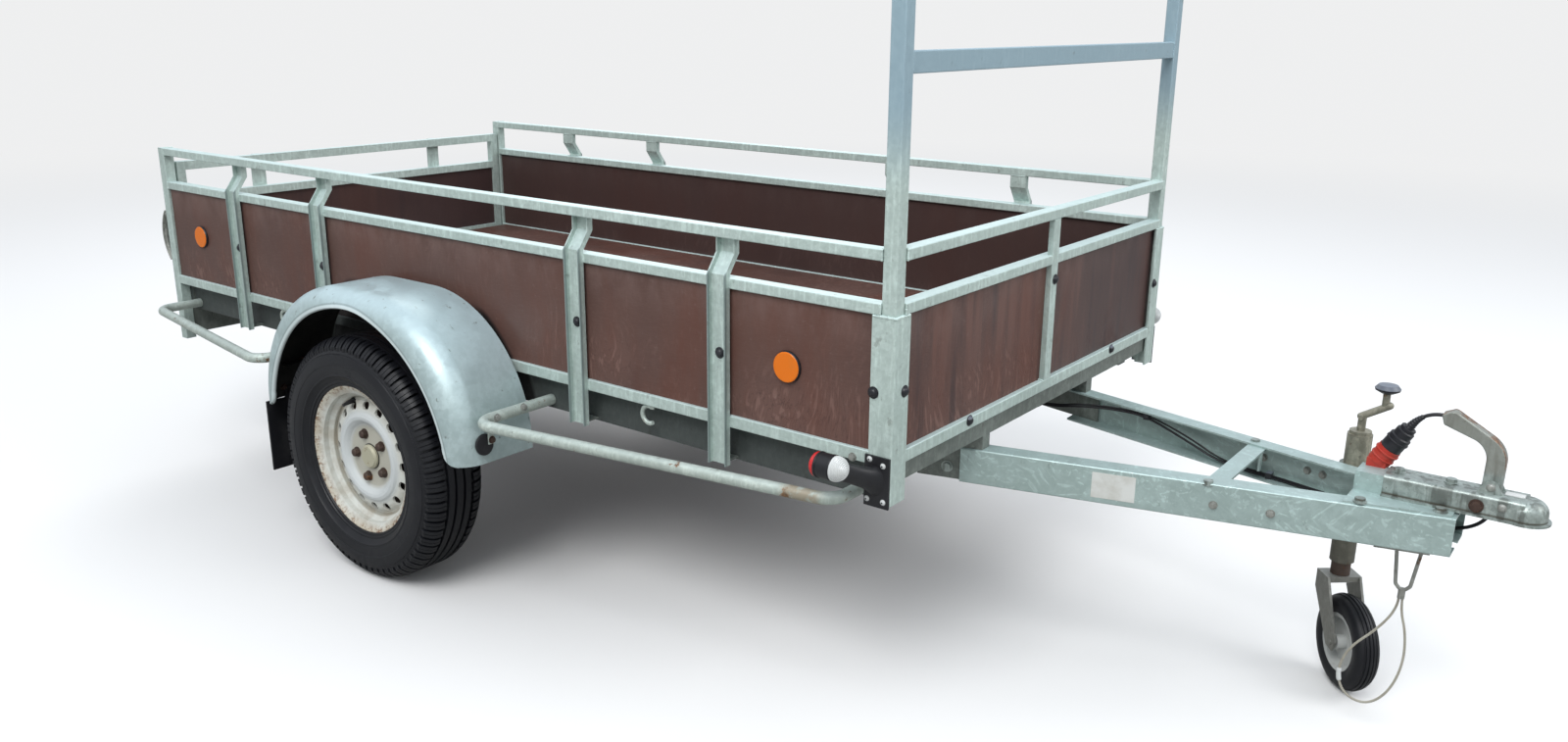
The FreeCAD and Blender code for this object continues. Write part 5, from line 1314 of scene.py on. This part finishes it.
# %% Seams of the front corners and the tailgate
corner_seams = []
gate_seams = []
for side, name in both_sides:
    for (x, y), (to_x, to_y) in (((2492.0, 632.5), (2537.0, 632.5)), ((2537.5, 632.5), (2537.5, 588.0))):
        corner_seams.append([(x, side * y, 817.5), (to_x, side * to_y, 817.5)])
    stake = side * 330.2
    for low, high in ((547.0, 568.0), (777.0, 796.0), (872.0, 893.0)):
        for x, y in ((2.3, side * 574.0), (2.0, stake - 23.0), (2.0, stake + 23.0)):
            gate_seams.append([(x, y, low), (x, y, high)])
add_welds("corner_welds", corner_seams, "trailer", **{"Drop radius": 0.0042, "Spacing": 0.0036})
add_welds("gate_welds", gate_seams, "tailgate")

# %% [markdown]
# ## Lamps and reflectors
# The lenses of the marker lamps are domes with fine rings, which bend the light of the
# bulb. They are turned about the lamp's axis, with each ring in the section.


# %% Marker lenses
def ringed_lens(radius, depth, rings, ripple):
    """Section of a domed lens with rings: (radius, along) from the rim to the tip."""
    rim = 0.12 * depth
    section = [(0.0, 0.0), (radius, 0.0), (radius, rim)]
    steps = rings * 4
    for step in range(1, steps):
        angle = 0.5 * math.pi * step / steps
        wave = ripple * (0.5 - 0.5 * math.cos(2.0 * math.pi * step / 4.0)) * min(1.0, 2.0 * math.cos(angle))
        section.append(((radius - wave) * math.cos(angle), rim + (depth - rim - wave) * math.sin(angle)))
    return section + [(0.0, depth)]


collar = [(22.6, -2.0), (24.0, -2.0), (24.3, -1.2), (24.3, 1.2), (24.0, 2.0), (22.6, 2.0)]
for side, name in both_sides:
    axis = (side * 740.0, 561)
    for colour, x, way, lens in (
        ("white", 2490, 1, ringed_lens(23.4, 25.0, 10, 1.2)),
        ("red", 2456, -1, ringed_lens(23.4, 16.0, 7, 0.7)),
    ):
        lens_name = "marker_lens_" + colour + "_" + name
        slot = colour + "_lens"
        turn_section(lens_name, lens, at(x, *axis), (way, 0, 0), 40, slot, replaced="marker_" + colour)
    for x in (2458.0, 2486.5):
        collar_name = "marker_collar_" + name + "_" + str(int(x))
        turn_section(collar_name, collar, at(x, *axis), (1, 0, 0), 40, "black_rubber")
print("marker lenses made")

# %% [markdown]
# The side reflectors sit in black rings. A reflector's lens has a raised rim and two
# fields that meet in a line down the middle.


# %% Rounded slabs
def rounded_slab(name, low, high, radius, slot, segments=3, replaced=None):
    """Block between two corners in millimetres with all its edges rounded."""
    low = at(*low)
    high = at(*high)
    work = bmesh.new()
    bmesh.ops.create_cube(work, size=1.0)
    for vertex in work.verts:
        vertex.co = Vector((low[i] + high[i]) / 2.0 + vertex.co[i] * abs(high[i] - low[i]) for i in range(3))
    bevel = {"offset": radius / 1000.0, "segments": segments, "profile": 0.5}
    bmesh.ops.bevel(work, geom=list(work.edges), affect="EDGES", clamp_overlap=True, **bevel)
    bmesh.ops.recalc_face_normals(work, faces=work.faces)
    mesh = bpy.data.meshes.new(name)
    work.to_mesh(mesh)
    work.free()
    mesh.materials.append(finish[slot])
    return make_piece(mesh, 40, replaced=replaced)


# %% Reflector rings and fields
panel_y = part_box("side_panels")[1].y * 1000.0
lens_y = abs(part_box("reflectors")[1].y) * 1000.0
ring = [(27.2, 0.2), (31.5, 0.2), (31.5, 4.0), (30.4, 6.2), (28.6, 7.6), (27.2, 7.9), (26.6, 7.2)]
rim = [(22.5, -1.2), (26.0, -1.2), (26.2, -0.2), (25.2, 0.0), (23.2, 0.0), (22.5, -0.3)]
for number, (x, z) in enumerate(((2299.0, 688.0), (182.0, 695.0))):
    for side, name in both_sides:
        label = name + "_" + str(number)
        way = (0, side, 0)
        turn_section("reflector_ring_" + label, ring, at(x, side * panel_y, z), way, 48, "black_plastic")
        turn_section("reflector_rim_" + label, rim, at(x, side * (lens_y - 0.1), z), way, 40, "orange_lens")
        near, far = sorted((side * (lens_y - 1.5), side * (lens_y - 0.1)))
        low, high = (x - 0.7, near, z - 21.5), (x + 0.7, far, z + 21.5)
        rounded_slab("reflector_line_" + label, low, high, 0.5, "orange_lens", 2)
print("reflectors made")

# %% [markdown]
# The rear lamps have an orange and a clear window beside the red one, over a black
# base.

# %% Rear lamps
lamp_low, lamp_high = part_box("rear_lamps")
lamp_back, lamp_front = ((corner.x - REAR_X) * 1000.0 for corner in (lamp_low, lamp_high))
bottom, top = lamp_low.z * 1000.0, lamp_high.z * 1000.0
window = (lamp_back, lamp_front - 8.0)
lamp_table = [
    ("base", "black_plastic", 4.0, (lamp_back + 9.0, lamp_front), (435.0, 565.0), (bottom, top)),
    ("stop", "red_lens", 4.5, window, (437.0, 518.5), (bottom + 22.0, top - 2.0)),
    ("turn", "orange_lens", 4.5, window, (519.5, 563.0), (bottom + 2.0, top - 2.0)),
    ("clear", "white_lens", 4.5, window, (437.0, 518.5), (bottom + 2.0, bottom + 21.0)),
]
for side, name in both_sides:
    for part_name, slot, radius, depth, width, height in lamp_table:
        low, high = zip(depth, sorted(side * y for y in width), height)
        rounded_slab("rear_lamp_" + part_name + "_" + name, low, high, radius, slot, replaced="rear_lamps")
print("rear lamps made")

# %% [markdown]
# ## Coupling, plug and cables
# Small pieces that the eye looks for: the pale wear indicator on the coupling's nose,
# the tapered boot where the lead leaves the plug, and the crimped sleeve that closes
# the safety rope.

# %% Coupling indicator, boot of the plug and sleeve of the rope
rounded_slab("coupling_indicator", (3434.0, -8.5, 516.0), (3466.0, 8.5, 520.5), 2.0, "white_lens")
boot_length = 30
boot_radius = 0.0078
boot_taper = 0.0036
boot_rib = 0.0006
boot_places = evenly(lead_route, 0.001)[:boot_length]
boot_radii = [
    boot_radius - boot_taper * index / (boot_length - 1) + (boot_rib if index % 5 in (1, 2) else 0.0)
    for index in range(boot_length)
]
boot = swept_tube("plug_boot", boot_places, boot_radii, 20, "black_plastic")
sleeve_radii = [0.0036] + [0.0046] * 13 + [0.0036]
sleeve_start = int(0.36 * len(rope_centre))
sleeve_places = rope_centre[sleeve_start:sleeve_start + len(sleeve_radii)]
sleeve = swept_tube("rope_sleeve", sleeve_places, sleeve_radii, 16, "white_lens")
print("boot", boot_length, "mm, sleeve", round(path_length(sleeve_places) * 1000), "mm")

at(*lead_exit)

# %% [markdown]
# The cable along the drawbar is three thin cables held side by side by clips. They
# share the route of their solid, each a little aside from it, and drift apart between
# the clips.

# %% Cables of the loom
# Columns of the route: forward, left, up, and how loose the cables are there
loom_route = [
    (2440.0, 193.1, 440.5, 0.0),
    (2480.0, 193.1, 440.5, 0.0),
    (2545.0, 190.7, 455.5, 1.0),
    (2625.0, 200.5, 461.5, 0.0),
    (2700.0, 195.6, 461.5, 0.6),
    (2812.0, 167.3, 430.5, 3.2),
    (2890.0, 150.7, 406.0, 0.6),
    (2990.0, 132.4, 406.0, 0.0),
    (3100.0, 103.7, 406.0, 0.0),
    (3181.0, 74.2, 406.0, 0.0),
    (3226.0, 74.2, 406.0, 0.0),
]
# Columns of the cables: name, aside, over, and the drift in both directions
loom_cables = [
    ("loom_left", 2.3, -1.3, 1.6, -1.0),
    ("loom_right", -2.3, -1.3, -1.9, 1.2),
    ("loom_top", 0.0, 2.4, 0.4, 2.2),
]
for name, aside, over, drift_y, drift_z in loom_cables:
    places = [(x, y + aside + drift_y * loose, z + over + drift_z * loose) for x, y, z, loose in loom_route]
    cable = smooth_line(name, places, 0.0022)
    cable.data.materials.append(finish["black_cable"])
    declare(cable, "trailer", "cable_loom")
print("loom cables", len(loom_cables))

# %% [markdown]
# ## Jockey wheel
# The small tyre is solid rubber with two grooves. It is turned about its own axle, whose
# direction follows from the fork.

# %% Jockey tyre
jockey_low, jockey_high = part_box("jockey_tyre")
jockey_turn = math.radians(-50.0)
jockey_axis = Vector((-math.sin(jockey_turn), math.cos(jockey_turn), 0.0))
jockey_half = [
    (99.6, 0.0), (99.2, 2.6), (96.8, 3.0), (96.6, 4.6), (98.6, 5.2), (97.4, 9.6),
    (95.0, 10.2), (94.4, 12.0), (95.6, 13.4), (93.0, 17.4), (90.0, 20.6), (84.0, 23.2),
    (77.0, 24.0), (72.0, 23.6), (68.0, 22.4), (60.6, 20.4),
]
jockey_section = jockey_half + [(radius, -along) for radius, along in reversed(jockey_half[1:])]
turn_section(
    "jockey_rubber", jockey_section, (jockey_low + jockey_high) / 2.0, jockey_axis, 72, "tyre",
    "jockey_roller", "jockey_tyre",
)
print("jockey tyre made")

# %% [markdown]
# ## Rolled edge of the mudguards
# The mouth of a mudguard is rolled over, which makes the thin sheet stiff and takes the
# sharp edge away. It is a bead that follows the mouth: a small bend at each foot and a
# large arc between them. Each of its points is dropped onto the sheet itself.


# %% Rolled edges
def arc(centre, radius, start, stop, steps):
    """Points of an arc between two angles in degrees, seen from the side."""
    angles = [math.radians(start + (stop - start) * step / steps) for step in range(steps + 1)]
    return [(centre[0] + radius * math.cos(a), centre[1] + radius * math.sin(a)) for a in angles]


guard_middle = 1199.0
arch_centre = 334.0
bead_radius = 0.0042
widest = 0.8488
pull = 1.004
outside = 853.0
smoothing_passes = 3
foot_bend = arc((367.2, 413.0), 37.0, -90.0, -180.0, 6)
half_arch = arc((0.0, arch_centre), 340.8, 13.4, 90.0, 60)
mouth = foot_bend + half_arch
mouth += [(-x, z) for x, z in reversed(mouth[:-1])]
for side, name in both_sides:
    bead_places = []
    for x, z in mouth:
        beside = (guard_middle + pull * x, outside * side, arch_centre + pull * (z - arch_centre))
        found = seat("mudguard_" + name, *beside, (0, -side, 0))
        place = at(guard_middle + x, 0.0, z)
        place.y = side * min(abs(found[0].y) - bead_radius if found else widest, widest)
        bead_places.append(place)
    for smoothing in range(smoothing_passes):
        ys = [place.y for place in bead_places]
        for index in range(1, len(ys) - 1):
            bead_places[index].y = (ys[index - 1] + 2.0 * ys[index] + ys[index + 1]) / 4.0
    swept_tube("guard_edge_" + name, bead_places, [bead_radius] * len(bead_places), 12, "mudguard_zinc")
print("rolled edges", len(mouth), "places")

# %% [markdown]
# At its front foot each mudguard is held by a wide rubber washer and a screw, with a
# small tab that comes down from the tube.

# %% Washers at the feet of the mudguards
washer = [(0.0, -3.0), (22.5, -3.0), (24.0, -1.6), (24.0, 1.2), (22.0, 2.6), (17.0, 3.0), (0.0, 3.0)]
for side, name in both_sides:
    foot = at(1594.5, 789 * side, 419.5)
    turn_section("guard_washer_" + name, washer, foot, (1, 0, 0.12), 36, "black_rubber")
    near, far = sorted((764 * side, 782 * side))
    rounded_slab("guard_tab_" + name, (1597.0, near, 418.0), (1600.5, far, 470.0), 1.5, "tube_zinc")
tab_seats = [(at(1600.4, 773 * side, 428), Vector((1.0, 0.0, 0.0))) for side, name in both_sides]
add_fasteners("tab_screws", "small_hexagon", "dark_steel", tab_seats)

# %% [markdown]
# ## Inside the wheels
# Behind the holes of the rim a dark disc on the hub stands for the shade inside the wheel,
# a painted shade. A black rubber valve lies in the well, and a black ring stands for the
# shadow and grease in the gap round the hub's cap.

# %% Shade discs, valves and cap rings
shade_disc = [(60.0, -8.0), (138.0, -8.0), (141.0, -6.0), (141.0, -2.0), (138.0, 0.0), (60.0, 0.0)]
cap_ring = [(26.5, 27.5), (31.5, 27.5), (31.5, 28.1), (30.5, 28.6), (27.5, 28.6), (26.5, 28.1)]
valve_radii = [0.0068, 0.0066, 0.0058, 0.0054, 0.0052, 0.0050, 0.0040, 0.0040, 0.0038]
valve_reach = 0.1415
valve_foot = 0.024
valve_end = 0.056
valve_lean = 0.006
valve_turn = math.radians(113.6)
valve_way = Vector((math.cos(valve_turn), 0.0, math.sin(valve_turn)))
shade_disc_face = 0.766
for side, name in both_sides:
    wheel = "wheel_" + name
    hub_low, hub_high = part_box("hub_" + name)
    hub_middle = (hub_low + hub_high) / 2.0
    hub_middle.y = side * shade_disc_face
    # A dark disc behind the rim's holes: painted shade.
    turn_section("wheel_shade_disc_" + name, shade_disc, hub_middle, (0, side, 0), 64, "dark_steel", wheel)
    # A black ring in the gap round the hub's cap: painted shadow with grease.
    turn_section("cap_ring_" + name, cap_ring, hub_middle, (0, side, 0), 40, "black_rubber", wheel)
    root = hub_middle + valve_way * valve_reach
    tip = root + Vector((0.0, side * valve_end, 0.0)) - valve_way * valve_lean
    root.y += side * valve_foot
    steps = len(valve_radii) - 1
    valve_places = [root + (tip - root) * (step / steps) for step in range(steps + 1)]
    swept_tube("valve_" + name, valve_places, valve_radii, 14, "black_rubber", wheel)
print("drums and valves made")

# %% [markdown]
# ## Rings of the plug and its holder
# The parked plug has a gland nut with ribs at its tail and a raised ring where it sits
# in the red holder.

# %% Plug rings
plug_way = Vector((0.5, 0.0, 0.866))
for name, reach, radius, width, slot in (
    ("plug_ring_low", -22.0, 22.6, 4.0, "red_plastic"),
    ("plug_ring_middle", -9.0, 23.2, 4.0, "red_plastic"),
    ("plug_ring_top", 20.0, 21.6, 4.0, "black_plastic"),
    ("plug_gland", 50.0, 14.5, 7.0, "black_plastic"),
):
    half_ring = [(9.0, -width / 2), (radius - 1.0, -width / 2), (radius, 1.0 - width / 2)]
    ring = half_ring + [(out, -along) for out, along in reversed(half_ring)]
    turn_section(name, ring, at(3233.0, 32.5, 549.9) + plug_way * (reach / 1000.0), plug_way, 30, slot)
print("plug rings made")

# %% [markdown]
# ## Hooks and levers
# The tie hooks are round bars bent into a C under the lower rails. The latches have flat
# levers that bow out from the posts. Both are a section carried along a curve: an arc
# for the hook, a Bezier curve for the lever.

# %% Tie hooks
hook_steps = 22
for number, x in enumerate((577.0, 1936.0)):
    for side, name in both_sides:
        hook_line = [(x + 11.0, 543.0)] + arc((x, 517.5), 19.0, 58.0, 302.0, hook_steps - 1)
        hook_places = [at(forward, side * 627.0, up) for forward, up in hook_line]
        hook_radii = [0.005] * hook_steps + [0.0042]
        hook_name = "tie_hook_" + name + "_" + str(number)
        swept_tube(hook_name, hook_places, hook_radii, 12, "tube_zinc", replaced="tie_hooks")
print("tie hooks made")


# %% Levers of the latches
def flat_bar(name, places, half_widths, half_thick, slot):
    """Flat bar with soft edges along a curve, as wide as it lies across the trailer."""
    lower = [(-1.0, -0.5), (-0.8, -1.0), (0.8, -1.0), (1.0, -0.5)]
    corners = lower + [(-a, -b) for a, b in lower]
    vertices = []
    across = Vector((0.0, 1.0, 0.0))
    for index, place in enumerate(places):
        tangent = (places[min(index + 1, len(places) - 1)] - places[max(index - 1, 0)]).normalized()
        through = tangent.cross(across).normalized()
        wide = across * half_widths[index]
        thick = through * half_thick
        vertices += [place + wide * a + thick * b for a, b in corners]
    mesh = shaped_mesh(name, vertices, ring_faces(len(places), len(corners)), slot)
    fix_normals(mesh)
    return make_piece(mesh, 50)


lever_steps = 16
lever_bow = ((-17.0, 751.0), (-56.0, 705.0), (-50.0, 640.0), (-24.0, 603.0))
half_width = 0.0105
narrowing = 0.0045
half_thick = 0.0022
half_widths = [half_width - narrowing * (index / (lever_steps - 1)) ** 2 for index in range(lever_steps)]
for side, name in both_sides:
    lever_places = interpolate_bezier(*[at(x, side * 620.0, z) for x, z in lever_bow], lever_steps)
    flat_bar("latch_lever_" + name, lever_places, half_widths, half_thick, "zinc")
print("latch levers made")
